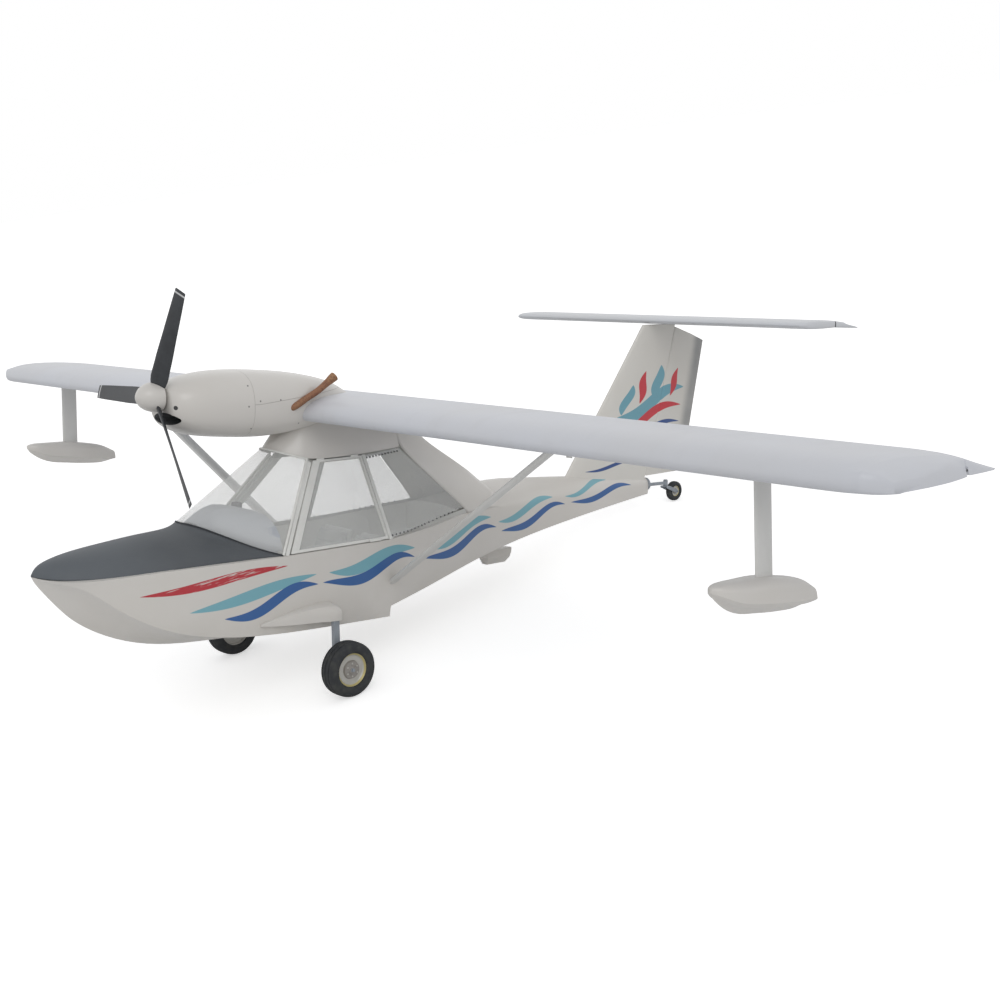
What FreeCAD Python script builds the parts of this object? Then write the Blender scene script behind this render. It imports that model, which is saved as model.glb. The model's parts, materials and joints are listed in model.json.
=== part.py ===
"""A two-seat amphibian ultralight aircraft: boat hull, strut-braced high wing, T-tail and tail-wheel gear.

It is modelled level, in the builder's datum frame: X to the left (port) side, Y aft, Z up, with the origin on
the centreline at the front lower corner of the doors. park() then turns every piece to the attitude in which
the aircraft stands on its main and tail wheels, with the floor at Z = 0.
"""
import FreeCAD
import Part
import math
import os
from FreeCAD import Vector

# ---------------------------------------------------------------- driving sizes, mm
WING_HALF_SPAN = 5444.0
WING_LE_Y = 395.0
WING_CHORD = 1530.0
WING_BOTTOM_Z = 970.0
WING_THICKNESS = 192.0
WING_TIP_LENGTH = 540.0
AILERON_SPAN = 2380.0
SURFACE_CHORD = 425.0
FLAP_MAX_DEG = 31.0

HULL_HALF_BEAM = 600.0
HULL_WALL = 35.0
CABIN_FLOOR = 60.0
STEP_Y = 1000.0
STEP_HEIGHT = 85.0
SILL_Z = 0.0

ROOF_EDGE_X = 270.0
ROOF_EDGE_Z = 660.0
DOOR_FRONT_Y = 60.0
DOOR_REAR_Y = 1000.0
DOOR_TOP_FRONT_Y = 505.0
DOOR_REAR_RAKE = 20.0
DOOR_THICKNESS = 28.0
DOOR_BORDER_FRONT = 58.0
DOOR_BORDER_LOW = 24.0
DOOR_BORDER_REAR = 16.0
DOOR_BORDER_TOP = 16.0
DOOR_HINGE_RADIUS = 6.0
DOOR_HINGE_LENGTH = 70.0
GLASS = 5.0
POST_WIDTH = 30.0
GAP = 7.0
PIN_CLEARANCE = 1.0

NACELLE_NOSE_Y = -655.0
NACELLE_WALL = 12.0
INTAKE_WIDTH = 250.0
INTAKE_HEIGHT = 70.0
INTAKE_Z = 1068.0
ENGINE_WIDTH = 450.0
ENGINE_LENGTH = 560.0
ENGINE_HEIGHT = 240.0
ENGINE_Z = 1130.0
ENGINE_FRONT_Y = -430.0

PROP_CENTRE_Z = 1214.0
PROP_RADIUS = 895.0
PROP_GAP = 20.0
HUB_RADIUS = 60.0
HUB_LENGTH = 62.0
SPINNER_RADIUS = 113.0
SPINNER_LENGTH = 192.0
BLADE_COUNT = 3
BLADE_ANGLE_DEG = 29.0
BLADE_TIP_PITCH_DEG = 15.0
BLADE_TWIST_DEG = 22.0
SHAFT_RADIUS = 28.0
PIPE_RADIUS = 21.0
PIPE_FLARE_RADIUS = 36.0

WHEEL_RADIUS = 218.0
TYRE_WIDTH = 160.0
RIM_RADIUS = 131.0
WHEEL_Y = 394.0
WHEEL_Z = -905.0
AXLE_RADIUS = 16.0
AXLE_END_RADIUS = 12.0
AXLE_FREE_END = 14.0
LEG_WIDTH = 38.0
LEG_DEPTH = 52.0
LEG_STAND_OFF = 90.0
LEG_X = HULL_HALF_BEAM + LEG_STAND_OFF
WHEEL_STAND_OFF = 150.0
WHEEL_X = LEG_X + WHEEL_STAND_OFF
LEG_SPLAY = 8.0
LEG_TOP_Z = -460.0
RUNNING_CLEARANCE = 0.1

TAIL_WHEEL_RADIUS = 100.0
TAIL_TYRE_WIDTH = 64.0
TAIL_RIM_RADIUS = 54.0
TAIL_AXLE_RADIUS = 8.0
TAIL_WHEEL_Y = 5197.0
TAIL_WHEEL_Z = -116.0
TAIL_PIVOT_Y = 5062.0
TAIL_STEM_RADIUS = 12.0
TAIL_ARM_RADIUS = 17.0
TAIL_END_Y = 4745.0
TAIL_END_RADIUS = 66.0
FORK_PLATE = 6.0

STAB_HALF_SPAN = 1890.0
STAB_LE_Y = 4700.0
STAB_CHORD = 945.0
STAB_Z = 1650.0
STAB_THICKNESS = 85.0
ELEVATOR_CHORD = 425.0
ELEVATOR_NOSE = 31.0
FIN_HALF_THICKNESS = 46.0
FIN_ROOT_Z = 20.0
RUDDER_NOSE = 30.0
RUDDER_BOTTOM_Z = 92.0
RUDDER_TOP_Z = 1580.0
FIN_DRAWN_TOP_Z = 1620.0
HINGE_LOW_Y = 4693.0
HINGE_HIGH_Y = 5140.0
FIN_LE_LOW_Y = 3465.0
FIN_LE_HIGH_Y = 4690.0
RUDDER_TE_LOW_Y = 5318.0
RUDDER_TE_LOW_Z = 95.0
RUDDER_TE_HIGH_Y = 5650.0
RUDDER_TE_HALF_THICKNESS = 3.0
RUDDER_LUG_REACH = 22.0
RUDDER_PIN_RADIUS = 6.0
RUDDER_LUG = 8.0

FLOAT_X = 4500.0
FLOAT_POST_CHORD = 155.0
FLOAT_POST_THICKNESS = 34.0
FLOAT_POST_Y = 745.0
STRUT_CHORD = 118.0
STRUT_THICKNESS = 46.0
STRUT_TOP_X = 2820.0
STRUT_TOP_Y = 690.0
STRUT_LOW_Y = 1046.0
STRUT_LOW_Z = -348.0
FITTING_PLATE = 8.0
LUG_REACH = 100.0
LUG_THICKNESS = 10.0
LUG_WIDTH = 50.0
LUG_DROP = 52.0
TIE_DOWN_RADIUS = 10.0


# ---------------------------------------------------------------- making shapes
def loft(sections):
    """A solid through closed outlines that all have the same number of corners."""
    return Part.makeLoft([Part.makePolygon(list(s) + [s[0]]) for s in sections], True, True)


def polyhedron(faces):
    """A solid from planar faces, each a list of corners."""
    shell = Part.makeShell([Part.Face(Part.makePolygon(list(f) + [f[0]])) for f in faces])
    solid = Part.makeSolid(shell)
    return solid if solid.Volume > 0 else solid.reversed()


def prism(outline, x0, x1):
    """A solid of constant outline [(y, z), ...] between two stations along X."""
    face = Part.Face(Part.makePolygon([Vector(x0, y, z) for y, z in outline + outline[:1]]))
    return face.extrude(Vector(x1 - x0, 0, 0))


def mirrored(shape):
    return shape.mirror(Vector(0, 0, 0), Vector(1, 0, 0))


def both_sides(shape):
    return Part.makeCompound([shape, mirrored(shape)])


def across_centreline(half):
    """Closes a half outline [(x, z), ...], listed from the keel up to the top, across the centreline."""
    return half + [(-x, z) for x, z in reversed(half) if x > 0]


def mix(a, b, share):
    return a + (b - a) * share


def lookup(table, key):
    """Straight-line interpolation in rows of (key, value)."""
    for (k0, v0), (k1, v1) in zip(table, table[1:]):
        if k0 <= key <= k1:
            return mix(v0, v1, (key - k0) / (k1 - k0))
    return table[0][1] if key < table[0][0] else table[-1][1]


def rod(start, end, radius, end_radius=None):
    axis = end - start
    if end_radius is None:
        return Part.makeCylinder(radius, axis.Length, start, axis)
    return Part.makeCone(radius, end_radius, axis.Length, start, axis)


def bar(start, end, across, width, depth):
    """A rectangular bar; across is the direction of its width."""
    along = (end - start).normalize()
    u = (across - along * across.dot(along)).normalize()
    v = along.cross(u)

    def ring(p):
        return [p + u * (a * width / 2) + v * (b * depth / 2)
                for a, b in ((-1, -1), (1, -1), (1, 1), (-1, 1))]
    return loft([ring(start), ring(end)])


# share of the chord, share of the thickness
STREAMLINE = [(-0.5, 0), (-0.42, 0.3), (-0.25, 0.47), (0, 0.48), (0.28, 0.28), (0.5, 0.04),
              (0.5, -0.04), (0.28, -0.28), (0, -0.48), (-0.25, -0.47), (-0.42, -0.3)]


def streamlined(start, end, chord, thickness):
    """A strut of streamlined section between two points, its chord along Y."""
    def ring(p):
        return [p + Vector(b * thickness, a * chord, 0) for a, b in STREAMLINE]
    return loft([ring(start), ring(end)])


def skin(rows, thickness):
    """A closed plate under a grid of points; each row has the same number of points."""
    n, m = len(rows), len(rows[0])

    def normal(i, j):
        along = rows[min(i + 1, n - 1)][j] - rows[max(i - 1, 0)][j]
        side = rows[i][min(j + 1, m - 1)] - rows[i][max(j - 1, 0)]
        return along.cross(side).normalize()
    inner = [[rows[i][j] - normal(i, j) * thickness for j in range(m)] for i in range(n)]
    faces = []
    for i in range(n - 1):
        for j in range(m - 1):
            for grid, flip in ((rows, False), (inner, True)):
                a, b, c, d = grid[i][j], grid[i + 1][j], grid[i + 1][j + 1], grid[i][j + 1]
                for tri in ((a, b, c), (a, c, d)):
                    faces.append(tri[::-1] if flip else tri)
    edge = ([(i, 0) for i in range(n)] + [(n - 1, j) for j in range(1, m)]
            + [(i, m - 1) for i in range(n - 2, -1, -1)] + [(0, j) for j in range(m - 2, 0, -1)])
    for (i, j), (k, l) in zip(edge, edge[1:] + edge[:1]):
        faces.append((rows[i][j], rows[k][l], inner[k][l]))
        faces.append((rows[i][j], inner[k][l], inner[i][j]))
    return polyhedron(faces)


def mirrored_row(half):
    """A full row of points from the half that starts on the centreline."""
    return [Vector(-p.x, p.y, p.z) for p in reversed(half[1:])] + half


# ---------------------------------------------------------------- hull
# station y, keel z, then (share of the half beam, z) of the chine, sheer, shoulder and top
HULL_STATIONS = [
    (-1727, -14, (0.010, -4), (0.013, 2), (0.008, 3), (0.004, 4)),
    (-1690, -75, (0.133, -24), (0.167, -12), (0.10, -12), (0.04, -12)),
    (-1598, -195, (0.317, -45), (0.375, -22), (0.25, -22), (0.10, -22)),
    (-1500, -312, (0.470, -68), (0.533, -22), (0.35, -22), (0.15, -22)),
    (-1410, -395, (0.563, -110), (0.627, -20), (0.40, -20), (0.15, -20)),
    (-1200, -530, (0.690, -280), (0.728, -12), (0.45, -12), (0.15, -12)),
    (-870, -648, (0.833, -452), (0.847, -2), (0.55, -2), (0.2, -2)),
    (-450, -700, (0.943, -555), (0.945, 0), (0.6, 0), (0.2, 0)),
    (0, -720, (1.0, -607), (1.0, 0), (0.6, 0), (0.2, 0)),
    (STEP_Y, -735, (1.0, -641), (1.0, 0), (0.6, 0), (0.2, 0)),
    (STEP_Y + 15, -735 + STEP_HEIGHT, (0.997, -641 + STEP_HEIGHT), (1.0, 0), (0.6, 0), (0.2, 0)),
    (1460, -575, (0.917, -465), (0.922, 30), (0.6, 30), (0.2, 30)),
    (2010, -470, (0.692, -372), (0.680, 80), (0.45, 108), (0.15, 108)),
    (2440, -395, (0.520, -312), (0.513, 66), (0.36, 205), (0.10, 298)),
    (3050, -310, (0.342, -245), (0.345, 50), (0.25, 150), (0.06, 240)),
    (3700, -225, (0.187, -190), (0.208, 30), (0.17, 120), (0.045, 195)),
    (4400, -145, (0.100, -125), (0.117, 10), (0.10, 60), (0.03, 108)),
    (TAIL_END_Y, -105, (0.067, -95), (0.083, -5), (0.07, 35), (0.02, 66)),
]
CABIN_FRONT_Y = -900.0
CABIN_REAR_Y = 2010.0
WINDOW_REAR_TOP = Vector(196, 1430, 680)
WINDOW_REAR_LOW = Vector(362, 2008, 115)


def hull_block():
    """The hull's outer form, with no cabin in it."""
    outer = []
    for y, keel, *side in HULL_STATIONS:
        half = [(0, keel)] + [(share * HULL_HALF_BEAM, z) for share, z in side]
        outer.append([Vector(x, y, z) for x, z in across_centreline(half)])
    return loft(outer)


def cabin_well():
    """The room inside the hull, open at the top."""
    well = []
    for y, keel, (chine, chine_z), (sheer, _), *_ in HULL_STATIONS:
        if CABIN_FRONT_Y <= y <= CABIN_REAR_Y and y != STEP_Y:
            chine_x = chine * HULL_HALF_BEAM - HULL_WALL
            sheer_x = sheer * HULL_HALF_BEAM - HULL_WALL
            half = [(0, keel + CABIN_FLOOR), (chine_x, chine_z + CABIN_FLOOR), (sheer_x, ROOF_EDGE_Z),
                    (HULL_WALL, ROOF_EDGE_Z)]
            well.append([Vector(x, y, z) for x, z in across_centreline(half)])
    return loft(well)


# ---------------------------------------------------------------- deck and windscreen
# station y, edge's share of the half beam, edge z, crown z
DECK_STATIONS = [
    (-1727, 0.017, 2, 14),
    (-1690, 0.167, -12, 68),
    (-1598, 0.375, -22, 106),
    (-1410, 0.627, -20, 140),
    (-1200, 0.728, -12, 160),
    (-870, 0.847, -2, 192),
    (-616, 0.900, 0, 197),
]
# share of the half beam, y, z of the windscreen's foot
SCREEN_FOOT = [(0, -542, 242), (0.183, -520, 239), (0.358, -462, 214), (0.533, -352, 155), (0.70, -222, 86),
               (0.858, -100, 32), (0.983, -10, 3)]
# share of the roof edge's half width, y, z of its head
SCREEN_HEAD = [(0, 222, 747), (0.22, 232, 744), (0.44, 262, 732), (0.64, 308, 714), (0.80, 360, 697),
               (0.91, 410, 682), (0.97, 455, 670)]
DECK_THICKNESS = 14.0
SCREEN_LIFT = Vector(0, 5, 3)
BASE_SHARE = 0.983


def make_deck():
    count = len(SCREEN_FOOT) - 1
    first, last = DECK_STATIONS[0][0], DECK_STATIONS[-1][0]
    rows = []
    for y, edge, edge_z, crown_z in DECK_STATIONS:
        reach = (y - first) / (last - first)
        row = []
        for i, (foot_share, foot_y, _) in enumerate(SCREEN_FOOT):
            share = i / count
            across = edge * share + reach * (foot_share - BASE_SHARE * share) * 0.9
            station = y + reach * (foot_y - SCREEN_FOOT[0][1]) * 0.92
            row.append(Vector(HULL_HALF_BEAM * across, station, mix(crown_z, edge_z, share * share)))
        rows.append(mirrored_row(row))
    rows.append(mirrored_row([Vector(s * HULL_HALF_BEAM, y, z) for s, y, z in SCREEN_FOOT]))
    return skin(rows, DECK_THICKNESS)


def make_windscreen():
    foot = [Vector(s * HULL_HALF_BEAM, y, z) + SCREEN_LIFT for s, y, z in SCREEN_FOOT]
    head = [Vector(s * ROOF_EDGE_X, y, z) for s, y, z in SCREEN_HEAD]
    return skin([mirrored_row(foot), mirrored_row(head)], GLASS)


# ---------------------------------------------------------------- cabin sides and doors
SIDE_UP = Vector(ROOF_EDGE_X - HULL_HALF_BEAM, 0, ROOF_EDGE_Z - SILL_Z)
SIDE_OUT = Vector(SIDE_UP.z, 0, -SIDE_UP.x).normalize()
SIDE_HEIGHT = SIDE_UP.Length
DOOR_TOP_REAR_Y = DOOR_REAR_Y - DOOR_REAR_RAKE
DOOR_OUTLINE = [(DOOR_FRONT_Y, GAP), (DOOR_REAR_Y, GAP), (DOOR_TOP_REAR_Y, SIDE_HEIGHT - GAP),
                (DOOR_TOP_FRONT_Y, SIDE_HEIGHT - GAP)]
DOOR_BORDERS = [DOOR_BORDER_LOW, DOOR_BORDER_REAR, DOOR_BORDER_TOP, DOOR_BORDER_FRONT]


def side_point(y, up, inset=0.0):
    """A point of the flat left cabin side, so far up the slope from the sill and in from its outer face."""
    return Vector(HULL_HALF_BEAM, y, SILL_Z) + SIDE_UP * (up / SIDE_HEIGHT) - SIDE_OUT * inset


def side_panel(corners, thickness, inset=0.0):
    """A flat plate in the cabin side; corners are (y, distance up from the sill)."""
    outer = [side_point(y, up, inset) for y, up in corners]
    face = Part.Face(Part.makePolygon(outer + [outer[0]]))
    return face.extrude(SIDE_OUT * -thickness)


def shrink(corners, margins):
    """Moves the sides of a convex outline, listed anticlockwise, inwards, each by its own margin."""
    lines = []
    for (x0, y0), (x1, y1), margin in zip(corners, corners[1:] + corners[:1], margins):
        length = math.hypot(x1 - x0, y1 - y0)
        nx, ny = -(y1 - y0) / length, (x1 - x0) / length
        lines.append((nx, ny, nx * x0 + ny * y0 + margin))
    out = []
    for a, b in zip(lines[-1:] + lines[:-1], lines):
        det = a[0] * b[1] - a[1] * b[0]
        out.append(((a[2] * b[1] - a[1] * b[2]) / det, (a[0] * b[2] - a[2] * b[0]) / det))
    return out


def door_hinges(radius):
    """The round barrels on the door's hinge line, along the roof's edge."""
    start_y = DOOR_TOP_FRONT_Y + DOOR_HINGE_LENGTH / 2
    end_y = DOOR_TOP_REAR_Y - DOOR_HINGE_LENGTH * 1.5
    spare = radius - DOOR_HINGE_RADIUS
    return [Part.makeCylinder(radius, DOOR_HINGE_LENGTH + 2 * spare,
                              Vector(ROOF_EDGE_X, y - spare, ROOF_EDGE_Z), Vector(0, 1, 0))
            for y in (start_y, end_y)]


def under(z):
    """A block below a level, the size of the cabin's side."""
    return Part.makeBox(2 * HULL_HALF_BEAM, 4 * DOOR_REAR_Y, HULL_HALF_BEAM,
                        Vector(0, -DOOR_REAR_Y, z - HULL_HALF_BEAM))


def make_door():
    frame = side_panel(DOOR_OUTLINE, DOOR_THICKNESS)
    window = side_panel(shrink(DOOR_OUTLINE, DOOR_BORDERS), DOOR_THICKNESS * 3, -DOOR_THICKNESS)
    door = frame.cut(window).cut(under(SILL_Z + GAP))
    for barrel in door_hinges(DOOR_HINGE_RADIUS):
        y = barrel.BoundBox.YMin
        leaf = side_panel([(y, SIDE_HEIGHT - GAP - 2), (y + DOOR_HINGE_LENGTH, SIDE_HEIGHT - GAP - 2),
                           (y + DOOR_HINGE_LENGTH, SIDE_HEIGHT), (y, SIDE_HEIGHT)], 4)
        door = door.fuse(barrel).fuse(leaf)
    return door


def make_door_glass():
    return side_panel(shrink(DOOR_OUTLINE, DOOR_BORDERS), GLASS, DOOR_THICKNESS / 2)


def make_cabin_frame(hull):
    """The posts ahead of and behind each door."""
    front_low = side_point(DOOR_FRONT_Y - GAP - POST_WIDTH, 0, DOOR_THICKNESS / 2)
    front_top = side_point(DOOR_TOP_FRONT_Y - GAP - POST_WIDTH, SIDE_HEIGHT * 0.985, DOOR_THICKNESS / 2)
    front = bar(front_low, front_top, Vector(0, 1, 0), POST_WIDTH, DOOR_THICKNESS)
    rear_y = DOOR_REAR_Y + GAP
    rear_top_y = DOOR_TOP_REAR_Y + GAP
    rear = side_panel([(rear_y, 0), (rear_y + POST_WIDTH, 0), (rear_top_y + POST_WIDTH, SIDE_HEIGHT - 2),
                       (rear_top_y, SIDE_HEIGHT - 2)], DOOR_THICKNESS)
    return both_sides(Part.makeCompound([front, rear]).cut(under(SILL_Z)).cut(hull))


def make_aft_windows(hull):
    front_y = DOOR_REAR_Y + GAP + POST_WIDTH + 1
    low = side_point(front_y, 8)
    top = side_point(front_y - DOOR_REAR_RAKE, SIDE_HEIGHT - 6)
    rows = [[low, top], [WINDOW_REAR_LOW + Vector(0, -12, 6), WINDOW_REAR_TOP + Vector(0, -8, -6)]]
    return both_sides(skin(rows, GLASS).cut(hull))


# ---------------------------------------------------------------- roof and turtledeck
# station y, lower share of the roof edge's half width, lower z, upper half-width, upper z
ROOF_STATIONS = [
    (226, 0.07, 736, 8, 752),
    (262, 0.41, 720, 34, 790),
    (340, 0.70, 703, 75, 848),
    (420, 0.89, 683, 120, 905),
    (505, 1.0, ROOF_EDGE_Z, 165, 972),
    (985, 1.0, ROOF_EDGE_Z, 165, 1000),
    (1430, 0.726, 680, 90, 1000),
]
# station y, then (x, z) of the side from the sheer up to the ridge
TURTLEDECK_STATIONS = [
    (1430, (540, 20), (196, 681), (150, 800), (95, 1000)),
    (1668, (492, 48), (265, 450), (140, 690), (30, 888)),
    (1861, (448, 66), (320, 262), (160, 500), (14, 708)),
    (2156, (378, 84), (300, 165), (150, 345), (12, 525)),
    (2440, (311, 68), (219, 207), (130, 282), (12, 312)),
]


def make_cabin_roof(hinge_room):
    rows = []
    for y, low, low_z, top_x, top_z in ROOF_STATIONS:
        low_x = low * ROOF_EDGE_X
        rows.append([Vector(x, y, z) for x, z in ((-low_x, low_z), (low_x, low_z), (top_x, top_z),
                                                  (-top_x, top_z))])
    return loft(rows).cut(hinge_room)


def make_turtledeck():
    rows = []
    for y, *side in TURTLEDECK_STATIONS:
        half = [(0, side[0][1] - CABIN_FLOOR), (side[0][0] - HULL_WALL, side[0][1] - CABIN_FLOOR)] + side
        rows.append([Vector(x, y, z) for x, z in across_centreline(half)])
    top, low = WINDOW_REAR_TOP, WINDOW_REAR_LOW
    ahead = prism([(top.y - 2, WING_BOTTOM_Z + 100), (top.y + 1, WING_BOTTOM_Z + 100), (top.y + 1, top.z),
                   (low.y + 1, low.z),
                   (low.y + 1, low.z - 300), (top.y - 2, low.z - 300)], -HULL_HALF_BEAM, HULL_HALF_BEAM)
    return loft(rows).cut(ahead)


# ---------------------------------------------------------------- wing
# share of the chord from the leading edge, height above the bottom as a share of the thickness
AIRFOIL_TOP = [(0.0, 0.26), (0.008, 0.47), (0.035, 0.69), (0.09, 0.87), (0.17, 0.97), (0.28, 1.0),
               (0.42, 0.96), (0.58, 0.84), (0.72, 0.63), (0.86, 0.34), (1.0, 0.02)]
AIRFOIL_LOW = [(1.0, 0.0), (0.72, 0.0), (0.3, 0.0), (0.05, 0.0), (0.012, 0.08)]
# distance in from the tip, leading edge's setback, trailing edge's setback
TIP_SECTIONS = [(540, 0, 0), (400, 0, 0), (280, 0, 0), (190, 20, 0), (140, 45, 4), (92, 58, 380),
                (54, 95, 560), (28, 125, 725), (10, 145, 1000)]


def airfoil(x, front, rear, share_out):
    """A section whose height falls to the tip's edge along an ellipse, and faster where the tip curves in."""
    chord = WING_CHORD - front - rear
    fade = math.sqrt(max(0.0, 1 - share_out * share_out))
    points = []
    for table in (AIRFOIL_TOP, AIRFOIL_LOW):
        for share, height in table:
            y = front + chord * share
            main = lookup(AIRFOIL_TOP, y / WING_CHORD) if table is AIRFOIL_TOP else 0
            edge = math.sqrt(max(0.0, 1 - share ** 10)) if rear else 1
            if table is AIRFOIL_TOP and share > 0:
                height = max(main * edge, 0.02)
            points.append(Vector(x, WING_LE_Y + y, WING_BOTTOM_Z + WING_THICKNESS * fade * height))
    return points


def whole_wing():
    left = []
    for inset, front, rear in TIP_SECTIONS:
        left.append(airfoil(WING_HALF_SPAN - inset, front, rear, 1 - inset / WING_TIP_LENGTH))
    right = [[Vector(-p.x, p.y, p.z) for p in row] for row in reversed(left)]
    return loft(right + left)


def surface_axis():
    """Y, Z and nose radius of the ailerons' and flaps' hinge line."""
    front_y = WING_LE_Y + WING_CHORD - SURFACE_CHORD
    height = lookup(AIRFOIL_TOP, (front_y - WING_LE_Y) / WING_CHORD) * WING_THICKNESS
    radius = height * 0.47
    return front_y + radius, WING_BOTTOM_Z + radius * 1.02, radius


def trailing_part(wing, x0, x1):
    """The wing behind the hinge line between two stations, with a round nose on the hinge axis."""
    axis_y, axis_z, radius = surface_axis()
    tail = wing.common(Part.makeBox(x1 - x0, WING_CHORD, WING_THICKNESS * 2,
                                    Vector(x0, axis_y, WING_BOTTOM_Z - 50)))
    nose = Part.makeCylinder(radius, min(x1, WING_HALF_SPAN - 130) - x0, Vector(x0, axis_y, axis_z),
                             Vector(1, 0, 0))
    return tail.fuse(nose.common(wing)).removeSplitter()


def make_wing(wing):
    axis_y, _, radius = surface_axis()
    front_y = axis_y - radius - GAP
    rear = Part.makeBox(2 * WING_HALF_SPAN + 400, WING_CHORD, WING_THICKNESS * 2,
                        Vector(-WING_HALF_SPAN - 200, front_y, WING_BOTTOM_Z - 50))
    return wing.cut(rear)


def flap_room():
    """What the drooping flaps sweep over the cabin's roof and turtledeck, with their gap."""
    axis_y, axis_z, radius = surface_axis()
    reach = WING_LE_Y + WING_CHORD - axis_y + GAP
    drop = axis_z - WING_BOTTOM_Z + GAP

    def turned_down(y, z, angle_deg):
        a = math.radians(angle_deg)
        return axis_y + y * math.cos(a) + z * math.sin(a), axis_z - y * math.sin(a) + z * math.cos(a)
    outline = [(axis_y - radius - GAP, axis_z), (axis_y - radius - GAP, axis_z + 200),
               (axis_y + reach, axis_z + 200)]
    outline += [turned_down(reach, -drop, FLAP_MAX_DEG * share) for share in (0, 0.33, 0.67, 1)]
    outline += [turned_down(0, -drop, FLAP_MAX_DEG)]
    round_nose = Part.makeCylinder(radius + GAP, 2 * HULL_HALF_BEAM, Vector(-HULL_HALF_BEAM, axis_y, axis_z),
                                   Vector(1, 0, 0))
    return prism(outline, -HULL_HALF_BEAM, HULL_HALF_BEAM).fuse(round_nose)


# ---------------------------------------------------------------- nacelle, engine, propeller
# station y, centre z, half width, half height
NACELLE_STATIONS = [
    (-655, 1150, 160, 132),
    (-640, 1147, 196, 150),
    (-600, 1141, 240, 177),
    (-500, 1136, 288, 218),
    (-350, 1137, 312, 245),
    (-150, 1134, 330, 262),
    (100, 1117, 334, 266),
    (350, 1113, 326, 249),
    (560, 1112, 298, 217),
    (760, 1108, 240, 175),
    (900, 1101, 168, 121),
    (1005, 1096, 92, 62),
]
RING_SIDES = 24
EXHAUST_PATH = [Vector(314, 300, 1093), Vector(337, 526, 1214), Vector(344, 676, 1316)]
EXHAUST_WALL = 3.0


def ring(y, centre_z, half_width, half_height):
    turns = [2 * math.pi * i / RING_SIDES for i in range(RING_SIDES)]
    return [Vector(half_width * math.sin(a), y, centre_z + half_height * math.cos(a)) for a in turns]


def make_nacelle(outer, wing):
    inner = loft([ring(y, z, w - NACELLE_WALL, h - NACELLE_WALL) for y, z, w, h in NACELLE_STATIONS[3:9]])
    shaft_hole = Part.makeCylinder(SHAFT_RADIUS + GAP, 300, Vector(0, NACELLE_NOSE_Y - 50, PROP_CENTRE_Z),
                                   Vector(0, 1, 0))
    spinner_room = Part.makeCylinder(SPINNER_RADIUS + PROP_GAP, 200,
                                     Vector(0, NACELLE_NOSE_Y - 200, PROP_CENTRE_Z), Vector(0, 1, 0))
    mouth = Part.Ellipse(Vector(0, 0, 0), INTAKE_WIDTH / 2, INTAKE_HEIGHT / 2).toShape()
    mouth = Part.Face(Part.Wire(mouth)).extrude(Vector(0, 0, 260))
    mouth.rotate(Vector(0, 0, 0), Vector(1, 0, 0), -90)
    mouth.translate(Vector(0, NACELLE_NOSE_Y - 100, INTAKE_Z))
    return outer.cut(inner).cut(shaft_hole).cut(spinner_room).cut(mouth).cut(wing)


def make_engine():
    block = Part.makeBox(ENGINE_WIDTH, ENGINE_LENGTH, ENGINE_HEIGHT,
                         Vector(-ENGINE_WIDTH / 2, ENGINE_FRONT_Y, ENGINE_Z - ENGINE_HEIGHT / 2))
    bore = Part.makeCylinder(SHAFT_RADIUS + RUNNING_CLEARANCE, 121,
                             Vector(0, ENGINE_FRONT_Y - 1, PROP_CENTRE_Z), Vector(0, 1, 0))
    return block.cut(bore)


# distance from the hub's axis as a share of the radius, chord, thickness
BLADE_SECTIONS = [(0.05, 70, 46), (0.13, 128, 34), (0.30, 140, 24), (0.6, 126, 16), (0.9, 110, 10),
                  (1.0, 102, 8)]
BLADE_PROFILE = [(-0.5, 0), (-0.2, 0.5), (0.25, 0.4), (0.5, 0), (0.25, -0.4), (-0.2, -0.5)]
# radius as a share of the spinner's, distance from its back as a share of its length
SPINNER_PROFILE = [(1.0, 0), (0.98, 0.25), (0.86, 0.52), (0.62, 0.78), (0.32, 0.94), (0, 1.0)]


def blade(angle_deg):
    hub_y = NACELLE_NOSE_Y - PROP_GAP - HUB_LENGTH / 2
    rows = []
    for share, chord, thickness in BLADE_SECTIONS:
        twist = math.radians(BLADE_TIP_PITCH_DEG + BLADE_TWIST_DEG * (1 - share))
        row = []
        for a, b in BLADE_PROFILE:
            u, v = a * chord, b * thickness
            across = u * math.cos(twist) - v * math.sin(twist)
            aft = u * math.sin(twist) + v * math.cos(twist)
            row.append(Vector(across, hub_y + aft, share * PROP_RADIUS))
        rows.append(row)
    shape = loft(rows)
    shape.rotate(Vector(0, 0, 0), Vector(0, 1, 0), angle_deg)
    shape.translate(Vector(0, 0, PROP_CENTRE_Z))
    return shape


def make_propeller():
    back_y = NACELLE_NOSE_Y - PROP_GAP
    hub = Part.makeCylinder(HUB_RADIUS, HUB_LENGTH, Vector(0, back_y - HUB_LENGTH, PROP_CENTRE_Z),
                            Vector(0, 1, 0))
    shaft = Part.makeCylinder(SHAFT_RADIUS, ENGINE_FRONT_Y + 100 - back_y,
                              Vector(0, back_y - 1, PROP_CENTRE_Z), Vector(0, 1, 0))
    shape = hub.fuse(shaft)
    for i in range(BLADE_COUNT):
        shape = shape.fuse(blade(BLADE_ANGLE_DEG + i * 360.0 / BLADE_COUNT))
    return shape


def make_spinner(propeller):
    back_y = NACELLE_NOSE_Y - PROP_GAP
    outline = [(0, 0)] + SPINNER_PROFILE
    wire = Part.makePolygon([Vector(r * SPINNER_RADIUS, back_y - d * SPINNER_LENGTH, PROP_CENTRE_Z)
                             for r, d in outline + outline[:1]])
    solid = Part.Face(wire).revolve(Vector(0, 0, PROP_CENTRE_Z), Vector(0, 1, 0), 360)
    return solid.cut(propeller)


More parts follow.
